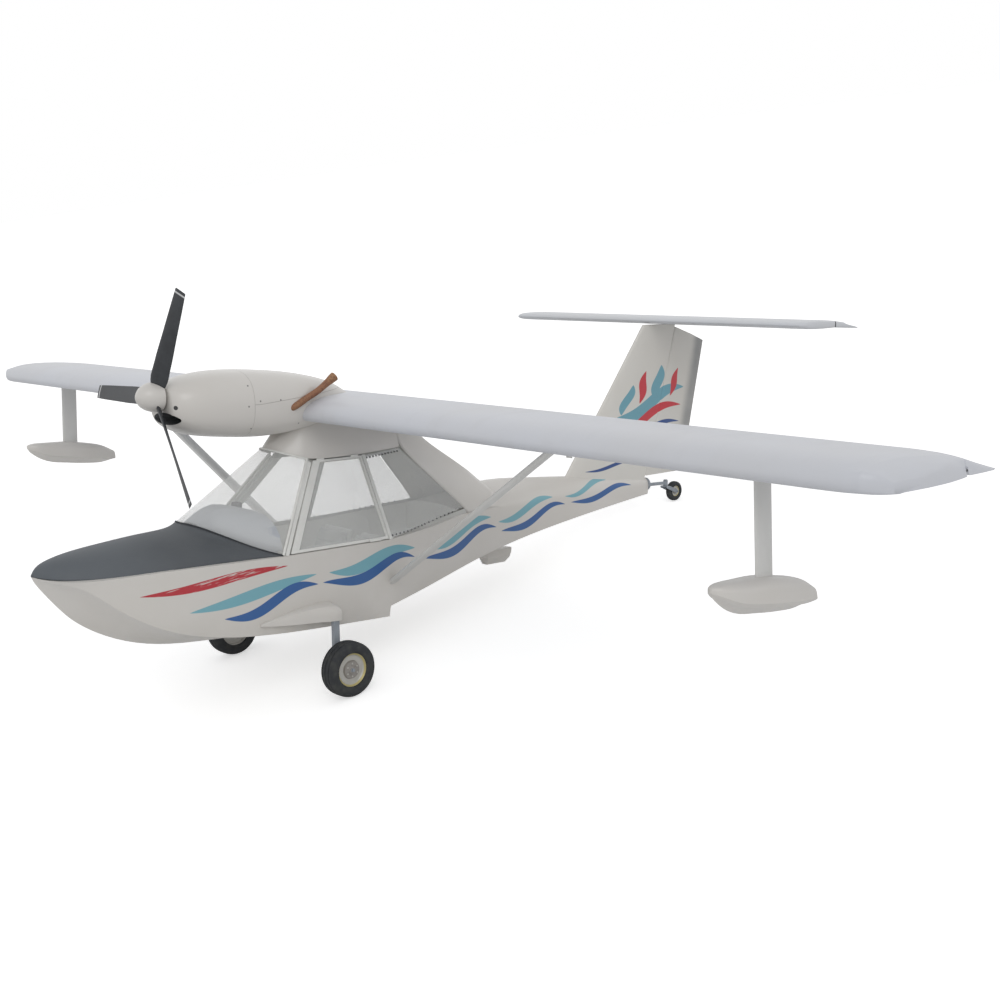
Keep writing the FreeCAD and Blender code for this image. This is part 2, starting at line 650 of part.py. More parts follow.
def pipe(path, radii):
    """A round pipe along a path of points, with a radius at each."""
    rows = []
    for point, radius in zip(path, radii):
        along = (path[-1] - path[0]).normalize()
        u = along.cross(Vector(0, 0, 1)).normalize()
        v = u.cross(along)
        turns = [2 * math.pi * i / RING_SIDES for i in range(RING_SIDES)]
        rows.append([point + u * (radius * math.cos(a)) + v * (radius * math.sin(a)) for a in turns])
    return loft(rows)


def make_exhaust(nacelle_outer):
    start, elbow, tip = EXHAUST_PATH
    outer = pipe([start, elbow, tip], [PIPE_RADIUS, PIPE_RADIUS, PIPE_FLARE_RADIUS])
    over = tip + (tip - elbow) * 0.02
    bore_radii = [PIPE_RADIUS - EXHAUST_WALL, PIPE_RADIUS - EXHAUST_WALL, PIPE_FLARE_RADIUS - EXHAUST_WALL]
    bore = pipe([mix(start, elbow, 0.5), elbow, over], bore_radii)
    return outer.cut(bore).cut(nacelle_outer)


# ---------------------------------------------------------------- fin and rudder
FIN_TOP_Z = STAB_Z - STAB_THICKNESS / 2 - 2
HINGE_LOW = Vector(0, HINGE_LOW_Y, FIN_ROOT_Z)
HINGE_HIGH = Vector(0, HINGE_HIGH_Y, FIN_DRAWN_TOP_Z)
FIN_LE_LOW = Vector(0, FIN_LE_LOW_Y, FIN_ROOT_Z)
FIN_LE_HIGH = Vector(0, FIN_LE_HIGH_Y, FIN_DRAWN_TOP_Z)
RUDDER_TE_LOW = Vector(0, RUDDER_TE_LOW_Y, RUDDER_TE_LOW_Z)
RUDDER_TE_HIGH = Vector(0, RUDDER_TE_HIGH_Y, FIN_DRAWN_TOP_Z)
# the rudder's top edge, (y, z), sloping away under the elevator
RUDDER_TOP_EDGE = [(4900, 1580), (5130, 1580), (5400, 1500), (5617, 1425), (5900, 1327)]
# share of the chord, half thickness as a share of the fin's
FIN_PROFILE = [(0, 0), (0.02, 0.35), (0.08, 0.65), (0.3, 1.0), (0.6, 0.9), (1.0, 0.65)]
NOSE_ARC_DEG = (0, 30, 60, 90)


def at_height(low, high, z):
    return low + (high - low) * ((z - low.z) / (high.z - low.z))


def hinge_axis_point(z):
    return at_height(HINGE_LOW, HINGE_HIGH, z) + Vector(0, RUDDER_NOSE, 0)


def rudder_pin(radius, spare):
    """The rudder's hinge pin, from under its lower edge to over its upper one."""
    along = (HINGE_HIGH - HINGE_LOW).normalize()
    reach = RUDDER_LUG * 2 + spare
    start = hinge_axis_point(RUDDER_BOTTOM_Z) - along * reach
    end = hinge_axis_point(RUDDER_TOP_Z) + along * reach
    return rod(start, end, radius)


def make_fin(hull):
    rows = []
    for z in (FIN_ROOT_Z, FIN_TOP_Z):
        front = at_height(FIN_LE_LOW, FIN_LE_HIGH, z).y
        chord = at_height(HINGE_LOW, HINGE_HIGH, z).y - GAP - front
        outline = FIN_PROFILE + [(s, -h) for s, h in reversed(FIN_PROFILE[1:])]
        rows.append([Vector(h * FIN_HALF_THICKNESS, front + chord * s, z) for s, h in outline])
    fin = loft(rows)
    for z in (RUDDER_BOTTOM_Z - GAP - RUDDER_LUG, RUDDER_TOP_Z + GAP):
        lug_front_y = hinge_axis_point(z).y - 2 * RUDDER_NOSE - GAP + RUDDER_LUG_REACH
        lug = Part.makeBox(2 * RUDDER_NOSE, 2 * RUDDER_NOSE + GAP, RUDDER_LUG,
                           Vector(-RUDDER_NOSE, lug_front_y, z))
        fin = fin.fuse(lug)
    return fin.cut(rudder_pin(RUDDER_PIN_RADIUS + PIN_CLEARANCE, RUDDER_LUG)).cut(hull)


def make_rudder():
    rows = []
    for z in (RUDDER_BOTTOM_Z, RUDDER_TOP_Z):
        axis = hinge_axis_point(z).y
        te = at_height(RUDDER_TE_LOW, RUDDER_TE_HIGH, z).y
        turns = [math.radians(d) for d in NOSE_ARC_DEG]
        half = [(-RUDDER_NOSE * math.cos(a), RUDDER_NOSE * math.sin(a)) for a in turns]
        half.append((te - axis, RUDDER_TE_HALF_THICKNESS))
        outline = half + [(y, -x) for y, x in reversed(half[1:])]
        rows.append([Vector(x, axis + y, z) for y, x in outline])
    high_z = STAB_Z + 2 * STAB_THICKNESS
    ends = [(RUDDER_TOP_EDGE[-1][0], high_z), (RUDDER_TOP_EDGE[0][0], high_z)]
    above = prism(RUDDER_TOP_EDGE + ends, -2 * FIN_HALF_THICKNESS, 2 * FIN_HALF_THICKNESS)
    return loft(rows).cut(above).fuse(rudder_pin(RUDDER_PIN_RADIUS, 0))


# ---------------------------------------------------------------- stabilizer and elevator
# share of the chord, height of the top and of the bottom as shares of the half thickness
STAB_PROFILE = [(0.0, 0.0, 0.0), (0.02, 0.42, -0.42), (0.08, 0.78, -0.72), (0.28, 1.0, -0.95),
                (0.5, 0.88, -0.86), (0.58, 0.80, -0.80), (1.0, -0.95, -1.12)]
# share of the half span, leading edge setback, trailing edge setback, thickness share
STAB_SECTIONS = [(0.86, 0, 0, 1.0), (0.915, 12, 0, 0.92), (0.955, 50, 30, 0.74), (0.98, 120, 240, 0.5),
                 (1.0, 260, 400, 0.2)]


def whole_stab():
    left = []
    for share, front, rear, height in STAB_SECTIONS:
        le, chord = STAB_LE_Y + front, STAB_CHORD - front - rear
        outline = [(s, top) for s, top, _ in STAB_PROFILE]
        outline += [(s, low) for s, _, low in reversed(STAB_PROFILE[1:])]
        left.append([Vector(share * STAB_HALF_SPAN, le + chord * s, STAB_Z + h * height * STAB_THICKNESS / 2)
                     for s, h in outline])
    right = [[Vector(-p.x, p.y, p.z) for p in row] for row in reversed(left)]
    return loft(right + left)


def elevator_axis_y():
    return STAB_LE_Y + STAB_CHORD - ELEVATOR_CHORD + ELEVATOR_NOSE


def behind(y):
    return Part.makeBox(2 * STAB_HALF_SPAN + 100, STAB_CHORD, 400,
                        Vector(-STAB_HALF_SPAN - 50, y, STAB_Z - 200))


def make_stab(stab, fin):
    return stab.cut(behind(elevator_axis_y() - ELEVATOR_NOSE - GAP)).cut(fin)


def make_elevator(stab):
    y = elevator_axis_y()
    nose = Part.makeCylinder(ELEVATOR_NOSE, 2 * STAB_HALF_SPAN * 0.92,
                             Vector(-STAB_HALF_SPAN * 0.92, y, STAB_Z), Vector(1, 0, 0))
    return stab.common(behind(y)).fuse(nose.common(stab)).removeSplitter()


# ---------------------------------------------------------------- landing gear
# share of the half width, share of the way from the rim to the tread
TYRE_PROFILE = [(-0.72, 0), (0.72, 0), (0.97, 0.28), (1.0, 0.52), (0.9, 0.8), (0.62, 0.96), (0, 1.0),
                (-0.62, 0.96), (-0.9, 0.8), (-1.0, 0.52), (-0.97, 0.28)]
RIM_WIDTH_SHARE = 0.72
HUB_STEP = 6.0


def turned(profile, centre):
    """A ring about a wheel's axle; profile is (along the axle, radius)."""
    wire = Part.makePolygon([Vector(a, 0, r) for a, r in profile + profile[:1]])
    solid = Part.Face(wire).revolve(Vector(0, 0, 0), Vector(1, 0, 0), 360)
    solid.translate(centre)
    return solid


def make_tyre(radius, width, rim_radius, centre):
    return turned([(a * width / 2, rim_radius + d * (radius - rim_radius)) for a, d in TYRE_PROFILE], centre)


def make_rim(rim_radius, width, axle_radius, centre):
    """A dished rim; the hub stands out by HUB_STEP towards the outer side."""
    half = width * RIM_WIDTH_SHARE / 2
    hub = rim_radius * 0.58
    dish = half * 0.35
    profile = [(-half, axle_radius), (half + HUB_STEP, axle_radius), (half + HUB_STEP, hub * 0.5),
               (half - 4, hub * 0.9), (half - dish, hub),
               (half - dish, rim_radius * 0.9), (half, rim_radius), (-half, rim_radius),
               (-half + dish, rim_radius * 0.9), (-half + dish, hub), (-half, hub * 0.9)]
    return turned(profile, centre)


def make_gear_leg(hull):
    foot = Vector(LEG_X, WHEEL_Y, WHEEL_Z)
    leg = bar(Vector(LEG_X - LEG_SPLAY, WHEEL_Y, LEG_TOP_Z), foot - Vector(0, 0, LEG_DEPTH / 2),
              Vector(1, 0, 0), LEG_WIDTH, LEG_DEPTH)
    rim_face = WHEEL_X + TYRE_WIDTH * RIM_WIDTH_SHARE / 2 + HUB_STEP
    axle = Part.makeCylinder(AXLE_RADIUS, rim_face - foot.x, foot, Vector(1, 0, 0))
    free_end = Part.makeCylinder(AXLE_END_RADIUS, AXLE_FREE_END, Vector(rim_face, foot.y, foot.z),
                                 Vector(1, 0, 0))
    return leg.fuse(axle).fuse(free_end).cut(hull)


FAIRING_ROOT = 25.0
# station y, distance out from the hull's side, top z, bottom z of the fairing over the leg's root
FAIRING_STATIONS = [(-225, 2, -498, -512), (-60, 28, -458, -528), (100, 55, -428, -538),
                    (250, 82, -412, -543),
                    (345, 108, -408, -548), (405, 118, -418, -550), (440, 112, -445, -552)]


def make_fairing(hull, leg):
    rows = []
    for y, out, top_z, low_z in FAIRING_STATIONS:
        outline = [(-FAIRING_ROOT, top_z), (1, top_z), (out * 0.55, mix(top_z, low_z, 0.28)),
                   (out * 0.92, mix(top_z, low_z, 0.65)), (out, mix(top_z, low_z, 0.92)),
                   (out * 0.97, low_z), (-FAIRING_ROOT, low_z)]
        rows.append([Vector(HULL_HALF_BEAM + x, y, z) for x, z in outline])
    return loft(rows).cut(hull).cut(leg)


def make_tail_arm(hull):
    arm = rod(Vector(0, TAIL_END_Y, -10), Vector(0, TAIL_PIVOT_Y, -20), TAIL_ARM_RADIUS)
    bush = Part.makeCylinder(TAIL_STEM_RADIUS * 2, 50, Vector(0, TAIL_PIVOT_Y, -45), Vector(0, 0, 1))
    cap = Part.makeCylinder(TAIL_END_RADIUS, 16, Vector(0, TAIL_END_Y - 2, 0), Vector(0, 1, 0))
    hole = Part.makeCylinder(TAIL_STEM_RADIUS + RUNNING_CLEARANCE, 80, Vector(0, TAIL_PIVOT_Y, -60),
                             Vector(0, 0, 1))
    return cap.fuse(arm.fuse(bush)).cut(hole).cut(hull)


def make_tail_fork():
    inner = TAIL_TYRE_WIDTH / 2 + GAP
    stem = Part.makeCylinder(TAIL_STEM_RADIUS, 64, Vector(0, TAIL_PIVOT_Y, -52), Vector(0, 0, 1))
    knob = Part.makeCylinder(TAIL_STEM_RADIUS * 1.7, 8, Vector(0, TAIL_PIVOT_Y, 6), Vector(0, 0, 1))
    crown = Part.makeBox(2 * (inner + FORK_PLATE), 52, 9, Vector(-inner - FORK_PLATE, TAIL_PIVOT_Y - 26, -60))
    shape = stem.fuse(knob).fuse(crown)
    outline = [(TAIL_PIVOT_Y - 26, -52), (TAIL_PIVOT_Y + 26, -52), (TAIL_WHEEL_Y + 16, TAIL_WHEEL_Z + 10),
               (TAIL_WHEEL_Y + 16, TAIL_WHEEL_Z - 16),
               (TAIL_WHEEL_Y - 12, TAIL_WHEEL_Z - 16), (TAIL_PIVOT_Y - 26, -70)]
    for x0 in (inner, -inner - FORK_PLATE):
        shape = shape.fuse(prism(outline, x0, x0 + FORK_PLATE))
    reach = inner + FORK_PLATE + AXLE_FREE_END
    return shape.fuse(Part.makeCylinder(TAIL_AXLE_RADIUS, 2 * reach,
                                        Vector(-reach, TAIL_WHEEL_Y, TAIL_WHEEL_Z), Vector(1, 0, 0)))


# ---------------------------------------------------------------- struts and wing floats
# station y, keel z, chine half-width, chine z, side half-width, side z, deck z
FLOAT_STATIONS = [
    (268, 340, 8, 346, 9, 352, 358),
    (330, 268, 56, 306, 62, 345, 374),
    (480, 182, 92, 246, 98, 318, 374),
    (700, 145, 104, 212, 110, 300, 368),
    (900, 124, 102, 190, 106, 275, 340),
    (1080, 118, 92, 172, 92, 245, 300),
    (1212, 142, 66, 164, 62, 200, 236),
]


def make_strut(hull, wing):
    """A lift strut with its fitting under the wing and the tie-down lug that the fitting carries."""
    low = Vector(HULL_HALF_BEAM - 2, STRUT_LOW_Y, STRUT_LOW_Z)
    top = Vector(STRUT_TOP_X, STRUT_TOP_Y, WING_BOTTOM_Z)
    strut = streamlined(low, top + Vector(0, 0, 20), STRUT_CHORD, STRUT_THICKNESS)
    plate = Part.makeBox(LUG_REACH + 80 + LUG_WIDTH, 76, FITTING_PLATE,
                         top + Vector(-80, -38, -FITTING_PLATE))
    lug = Part.makeBox(LUG_WIDTH, LUG_THICKNESS, LUG_DROP, top
                       + Vector(LUG_REACH, -LUG_THICKNESS / 2, -LUG_DROP))
    eye = top + Vector(LUG_REACH + LUG_WIDTH / 2, -2 * LUG_THICKNESS, FITTING_PLATE - LUG_DROP * 0.75)
    hole = Part.makeCylinder(TIE_DOWN_RADIUS, 4 * LUG_THICKNESS, eye, Vector(0, 1, 0))
    return strut.cut(hull).cut(wing).fuse(plate).fuse(lug).cut(hole)


def make_float(post):
    rows = []
    for y, keel, chine_x, chine_z, side_x, side_z, deck_z in FLOAT_STATIONS:
        half = [(0, keel), (chine_x, chine_z), (side_x, side_z), (side_x * 0.6, mix(side_z, deck_z, 0.85)),
                (side_x * 0.2, deck_z)]
        rows.append([Vector(FLOAT_X + x, y, z) for x, z in across_centreline(half)])
    return loft(rows).cut(post)


def make_float_post():
    foot = Vector(FLOAT_X, FLOAT_POST_Y, FLOAT_STATIONS[3][6] - 30)
    return streamlined(foot, Vector(FLOAT_X - 15, FLOAT_POST_Y, WING_BOTTOM_Z + 8), FLOAT_POST_CHORD,
                       FLOAT_POST_THICKNESS)


# ---------------------------------------------------------------- inside the cabin
SEAT_INNER_X = 40.0
SEAT_OUTER_X = 480.0
SEAT_TOP_Z = -395.0
SEAT_BACK_TOP_Z = -20.0
SEAT_FRONT_Y = 430.0
SEAT_REAR_Y = 950.0
SEAT_OUTER_FOOT_Z = -600.0
SEAT_INNER_FOOT_Z = -700.0
SEAT_BACK_THICKNESS = 70.0
# station y, share of the half beam at the sill, shoulder (share, z), crown z of the instrument hood
HOOD_STATIONS = [(-450, 0.30, (0.22, 205), 235), (-330, 0.46, (0.33, 235), 300),
                 (-200, 0.62, (0.44, 262), 332), (28, 0.88, (0.54, 268), 292)]
COMPASS = (90.0, 55.0, 55.0)
# station y, half-width, top z, bottom z of the pod under the aft hull
POD_STATIONS = [(2505, 14, -425, -455), (2562, 46, -400, -520), (2780, 50, -392, -520),
                (2850, 40, -392, -480), (2885, 14, -400, -440)]


def make_seat(well):
    pan_rows, back_rows = [], []
    for y, top_z in ((SEAT_FRONT_Y, SEAT_TOP_Z + 15), (SEAT_REAR_Y, SEAT_TOP_Z - 25)):
        outline = [(SEAT_INNER_X, top_z), (SEAT_OUTER_X, top_z),
                   (SEAT_OUTER_X, SEAT_OUTER_FOOT_Z), (SEAT_INNER_X, SEAT_INNER_FOOT_Z)]
        pan_rows.append([Vector(x, y, z) for x, z in outline])
    for z, front_y, taper in ((SEAT_TOP_Z - 60, SEAT_REAR_Y - 60, 0),
                              (SEAT_BACK_TOP_Z, SEAT_REAR_Y + 130, 25)):
        inner_x, outer_x, rear_y = SEAT_INNER_X + taper, SEAT_OUTER_X - taper, front_y + SEAT_BACK_THICKNESS
        back_rows.append([Vector(x, y, z) for x, y in ((inner_x, front_y), (outer_x, front_y),
                                                       (outer_x, rear_y), (inner_x, rear_y))])
    return loft(pan_rows).fuse(loft(back_rows)).common(well)


def make_panel(hull):
    rows = []
    for y, low, (shoulder, shoulder_z), crown_z in HOOD_STATIONS:
        half = [(low * 0.95, SILL_Z - 60), (low, SILL_Z + 20), (shoulder, shoulder_z),
                (shoulder * 0.45, crown_z)]
        points = [(share * HULL_HALF_BEAM, z) for share, z in half]
        rows.append([Vector(x, y, z) for x, z in points + [(-x, z) for x, z in reversed(points)]])
    width, depth, height = COMPASS
    last_y, crown_z = HOOD_STATIONS[-1][0], HOOD_STATIONS[-1][3]
    compass = Part.makeBox(width, depth, height, Vector(-width, last_y - depth - 10, crown_z - 6))
    return loft(rows).fuse(compass).cut(hull)


def make_pod():
    rows = []
    for y, half, top, low in POD_STATIONS:
        middle = (low + top) / 2
        outline = ((-1, 0.7, low), (1, 0.7, low), (1, 1, middle), (1, 0.8, top), (-1, 0.8, top),
                   (-1, 1, middle))
        rows.append([Vector(s * half * k, y, z) for s, k, z in outline])
    return loft(rows)


# ---------------------------------------------------------------- putting it together
def build():
    parts = {}
    whole = whole_wing()
    wing = make_wing(whole)
    room = flap_room()
    deck = make_deck()
    block = hull_block()
    hull = block.cut(cabin_well()).cut(deck)
    nacelle_outer = loft([ring(*s) for s in NACELLE_STATIONS])
    hinge_room = Part.makeCompound(door_hinges(DOOR_HINGE_RADIUS + PIN_CLEARANCE))
    parts["hull"] = hull
    parts["nose_deck"] = deck
    parts["windscreen"] = make_windscreen().cut(deck)
    parts["instrument_panel"] = make_panel(hull).cut(deck)
    parts["seats"] = both_sides(make_seat(cabin_well()))
    parts["cabin_frame"] = make_cabin_frame(block)
    parts["aft_windows"] = make_aft_windows(block)
    parts["nacelle"] = make_nacelle(nacelle_outer, wing)
    roof = make_cabin_roof(both_sides(hinge_room))
    parts["cabin_roof"] = roof.cut(nacelle_outer).cut(wing).cut(room).cut(parts["windscreen"])
    parts["turtledeck"] = make_turtledeck().cut(hull).cut(wing).cut(room)
    parts["wing"] = wing
    parts["engine"] = make_engine()
    parts["exhaust"] = make_exhaust(nacelle_outer)
    parts["propeller"] = make_propeller()
    parts["spinner"] = make_spinner(parts["propeller"])
    aileron_x = WING_HALF_SPAN - AILERON_SPAN
    for name, x0, x1 in (("flap", GAP / 2, aileron_x - GAP / 2),
                         ("aileron", aileron_x + GAP / 2, WING_HALF_SPAN + 50)):
        left = trailing_part(whole, x0, x1)
        parts[name + "_left"] = left
        parts[name + "_right"] = mirrored(left)
    door, glass = make_door(), make_door_glass()
    parts["door_left"], parts["door_right"] = door, mirrored(door)
    parts["door_glass_left"], parts["door_glass_right"] = glass, mirrored(glass)
    parts["struts"] = both_sides(make_strut(block, wing))
    post = make_float_post().cut(wing)
    parts["float_posts"] = both_sides(post)
    parts["floats"] = both_sides(make_float(post))
    parts["fin"] = make_fin(block)
    parts["rudder"] = make_rudder()
    stab = whole_stab()
    parts["stabilizer"] = make_stab(stab, parts["fin"])
    parts["elevator"] = make_elevator(stab)
    leg = make_gear_leg(block)
    parts["gear_legs"] = both_sides(leg)
    parts["gear_fairings"] = both_sides(make_fairing(block, leg))
    centre = Vector(WHEEL_X, WHEEL_Y, WHEEL_Z)
    tyre = make_tyre(WHEEL_RADIUS, TYRE_WIDTH, RIM_RADIUS, centre)
    rim = make_rim(RIM_RADIUS, TYRE_WIDTH, AXLE_RADIUS + RUNNING_CLEARANCE, centre)
    parts["tyre_left"], parts["tyre_right"] = tyre, mirrored(tyre)
    parts["rim_left"], parts["rim_right"] = rim, mirrored(rim)
    parts["tail_arm"] = make_tail_arm(block)
    parts["tail_fork"] = make_tail_fork()
    tail_centre = Vector(0, TAIL_WHEEL_Y, TAIL_WHEEL_Z)
    parts["tail_tyre"] = make_tyre(TAIL_WHEEL_RADIUS, TAIL_TYRE_WIDTH, TAIL_RIM_RADIUS, tail_centre)
    parts["tail_rim"] = make_rim(TAIL_RIM_RADIUS, TAIL_TYRE_WIDTH, TAIL_AXLE_RADIUS + RUNNING_CLEARANCE,
                                 tail_centre)
    parts["hull_pod"] = make_pod().cut(block)
    return parts


def parking_angle():
    """The nose-up angle at which the main and tail tyres touch one floor."""
    run, rise = TAIL_WHEEL_Y - WHEEL_Y, TAIL_WHEEL_Z - WHEEL_Z
    tyre_step = math.asin((WHEEL_RADIUS - TAIL_WHEEL_RADIUS) / math.hypot(run, rise))
    return math.degrees(math.atan2(rise, run) + tyre_step)


def park(shape):
    shape.rotate(Vector(0, WHEEL_Y, WHEEL_Z), Vector(1, 0, 0), -parking_angle())
    shape.translate(Vector(0, 0, WHEEL_RADIUS - WHEEL_Z))
    return shape


def main():
    parts = {name: park(shape) for name, shape in build().items()}
    box = FreeCAD.BoundBox()
    for shape in parts.values():
        box.add(shape.BoundBox)
    shift = Vector(-(box.XMin + box.XMax) / 2, -(box.YMin + box.YMax) / 2, 0)
    os.makedirs("parts", exist_ok=True)
    for name, shape in parts.items():
        shape.translate(shift)
        shape.exportStep(f"parts/{name}.step")
        print(name, "solids", len(shape.Solids), "valid", shape.isValid(), "litres",
              round(shape.Volume / 1e6, 2))
    print("box", box, "shift", shift, "angle", parking_angle())


main()
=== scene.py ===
"""The looks of a two-seat amphibian ultralight: boat hull, strut-braced high wing, a tractor engine in a
nacelle on the wing, and a tailplane on top of the fin."""
import json
import math
import bmesh
import bpy
from mathutils import Matrix, Vector
from mathutils.bvhtree import BVHTree


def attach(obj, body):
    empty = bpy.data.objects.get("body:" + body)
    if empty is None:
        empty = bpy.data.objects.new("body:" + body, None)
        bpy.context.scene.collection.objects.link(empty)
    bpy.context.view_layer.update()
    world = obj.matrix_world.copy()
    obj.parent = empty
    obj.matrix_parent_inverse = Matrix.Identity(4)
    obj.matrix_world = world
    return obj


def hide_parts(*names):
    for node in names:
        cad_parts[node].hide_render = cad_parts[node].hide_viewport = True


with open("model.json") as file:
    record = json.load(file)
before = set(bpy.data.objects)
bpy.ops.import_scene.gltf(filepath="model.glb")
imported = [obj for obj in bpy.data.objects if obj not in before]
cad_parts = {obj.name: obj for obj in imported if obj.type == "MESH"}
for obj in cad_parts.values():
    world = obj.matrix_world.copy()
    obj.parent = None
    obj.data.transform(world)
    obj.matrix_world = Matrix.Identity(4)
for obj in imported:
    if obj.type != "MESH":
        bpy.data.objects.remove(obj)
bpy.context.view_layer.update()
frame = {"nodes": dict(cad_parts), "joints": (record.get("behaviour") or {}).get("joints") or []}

# ---------------------------------------------------------------- how it stands
# Every piece is shaped level, in metres, from the front lower corner of the doors: X to port, Y aft, Z up.
# The parked matrix then lays it back on its main and tail wheels, where the joints say that those are.
AFT = Vector((0, 1, 0))
UP = Vector((0, 0, 1))
PORT = Vector((1, 0, 0))
MAIN_WHEEL = Vector((0.84, 0.394, -0.905))
TAIL_WHEEL = Vector((0, 5.197, -0.116))
joints = {joint["name"]: joint for joint in frame["joints"]}
axle = Vector(joints["main_wheel_left"]["pos_m"])
thrust = Vector(joints["propeller_spin"]["axis"])
nose_up = math.atan2(thrust.z, -thrust.y)
parked = (Matrix.Translation((0, axle.y, axle.z)) @ Matrix.Rotation(-nose_up, 4, "X")
          @ Matrix.Translation((0, -MAIN_WHEEL.y, -MAIN_WHEEL.z)))
level = parked.inverted()

# ---------------------------------------------------------------- studio
# A plain pale floor under a white surround, one soft sun from above, and the camera at the front left.
# Finish is one procedural material; Flow is a value between its nodes, and arithmetic on a Flow adds the
# Math nodes.


class Flow:
    """A value on its way between the nodes of a finish."""

    def __init__(self, finish, socket):
        self.finish = finish
        self.socket = socket

    def maths(self, operation, *values):
        return self.finish.add("Math", dict(enumerate(values)), {"operation": operation})

    def __add__(self, other):
        return self.maths("ADD", self, other)

    def __radd__(self, other):
        return self.maths("ADD", other, self)

    def __sub__(self, other):
        return self.maths("SUBTRACT", self, other)

    def __rsub__(self, other):
        return self.maths("SUBTRACT", other, self)

    def __mul__(self, other):
        return self.maths("MULTIPLY", self, other)

    def __rmul__(self, other):
        return self.maths("MULTIPLY", other, self)

    def power(self, exponent):
        return self.maths("POWER", self, exponent)

    def sine(self):
        return self.maths("SINE", self)

    def size(self):
        return self.maths("ABSOLUTE", self)

    def most(self, other):
        return self.maths("MAXIMUM", self, other)

    def least(self, other):
        return self.maths("MINIMUM", self, other)

    def far(self, other):
        """How far from nought a point is whose two coordinates are these."""
        return (self * self + other * other).power(0.5)

    def over(self, edge, blur):
        """0 below the edge and 1 above it, with a soft step of that width."""
        return self.finish.add("MapRange", {0: self, 1: edge - blur / 2, 2: edge + blur / 2, 3: 0.0, 4: 1.0},
                               {"interpolation_type": "SMOOTHSTEP"})

    def under(self, edge, blur):
        return 1 - self.over(edge, blur)

    def within(self, low, high, blur):
        return self.over(low, blur) * self.under(high, blur)


class Finish:
    """A procedural material built around one Principled shader."""

    def __init__(self, name):
        self.material = bpy.data.materials.new(name)
        self.material.use_nodes = True
        self.tree = self.material.node_tree
        self.shader = self.tree.nodes["Principled BSDF"]
        self.place = self.add("TexCoord", {}, output=3)

    def add(self, kind, sockets, settings=(), output=0):
        node = self.tree.nodes.new("ShaderNode" + kind)
        for key, value in dict(settings).items():
            setattr(node, key, value)
        for key, value in sockets.items():
            self.feed(node.inputs[key], value)
        return Flow(self, node.outputs[output])

    def feed(self, socket, value):
        if isinstance(value, Flow):
            self.tree.links.new(value.socket, socket)
        else:
            socket.default_value = value

    def wear(self, **sockets):
        """Sets the shader's sockets; an underscore in a name stands for a space."""
        for key, value in sockets.items():
            self.feed(self.shader.inputs[key.replace("_", " ")], value)
        return self.material

    def mixed(self, share, first, second):
        return self.add("Mix", {0: share, 6: first, 7: second}, {"data_type": "RGBA"}, output=2)

    def noise(self, scale, detail=3.0, stretch=(1, 1, 1)):
        place = self.add("Mapping", {"Vector": self.place, "Scale": stretch})
        return self.add("TexNoise", {"Vector": place, "Scale": scale, "Detail": detail, "Roughness": 0.55})

    def relief(self, height, depth):
        return self.add("Bump", {"Height": height, "Strength": 1.0, "Distance": depth})

    def levelled(self):
        """X, Y and Z from the door's corner with the aircraft level."""
        flat = self.add("Mapping", {"Vector": self.place, "Location": level.translation,
                                    "Rotation": level.to_euler()})
        return [self.add("SeparateXYZ", {"Vector": flat}, output=i) for i in range(3)]


def tint(code):
    """A colour written as on screen, such as C8C6C0, as the linear colour that a shader takes."""
    steps = [int(code[i:i + 2], 16) / 255 for i in (0, 2, 4)]
    return tuple(c / 12.92 if c < 0.04045 else ((c + 0.055) / 1.055) ** 2.4 for c in steps) + (1.0,)


CAMERA_FROM = Vector((9.4325, -5.8379, 2.1336))
CAMERA_ALONG = Vector((-0.72303, 0.67187, -0.16071))
camera_data = bpy.data.cameras.new("camera")
camera_data.sensor_width = 36.0
camera_data.lens = 50.58
camera_data.shift_x = -0.0138
camera_data.clip_end = 500
camera = bpy.data.objects.new("camera", camera_data)
bpy.context.scene.collection.objects.link(camera)
facing = CAMERA_ALONG.to_track_quat("-Z", "Y").to_matrix().to_4x4()
camera.matrix_world = parked @ Matrix.Translation(CAMERA_FROM) @ facing
bpy.context.scene.camera = camera
bpy.context.scene.view_settings.view_transform = "Standard"

FLOOR_TONE = (0.80, 0.80, 0.80, 1)
FLOOR_CLOUD = (0.82, 0.82, 0.82, 1)
FLOOR_GLOW = 0.54
ground = bmesh.new()
bmesh.ops.create_circle(ground, cap_ends=True, segments=96, radius=90)
floor_mesh = bpy.data.meshes.new("floor")
ground.to_mesh(floor_mesh)
ground.free()
floor = bpy.data.objects.new("floor", floor_mesh)
bpy.context.scene.collection.objects.link(floor)
paving = Finish("pale_floor")
eye_ray = paving.add("LightPath", {}, output=0)
paving.wear(Base_Color=paving.mixed(paving.noise(0.4), FLOOR_TONE, FLOOR_CLOUD), Roughness=0.9,
            Specular_IOR_Level=0.1)
dull = Flow(paving, paving.shader.outputs[0])
glow = paving.add("Emission", {"Color": (1, 1, 1, 1), "Strength": FLOOR_GLOW})
lit = paving.add("AddShader", {0: dull, 1: glow})
seen = paving.add("MixShader", {0: eye_ray, 1: dull, 2: lit})
paving.feed(paving.tree.nodes["Material Output"].inputs["Surface"], seen)
floor.data.materials.append(paving.material)

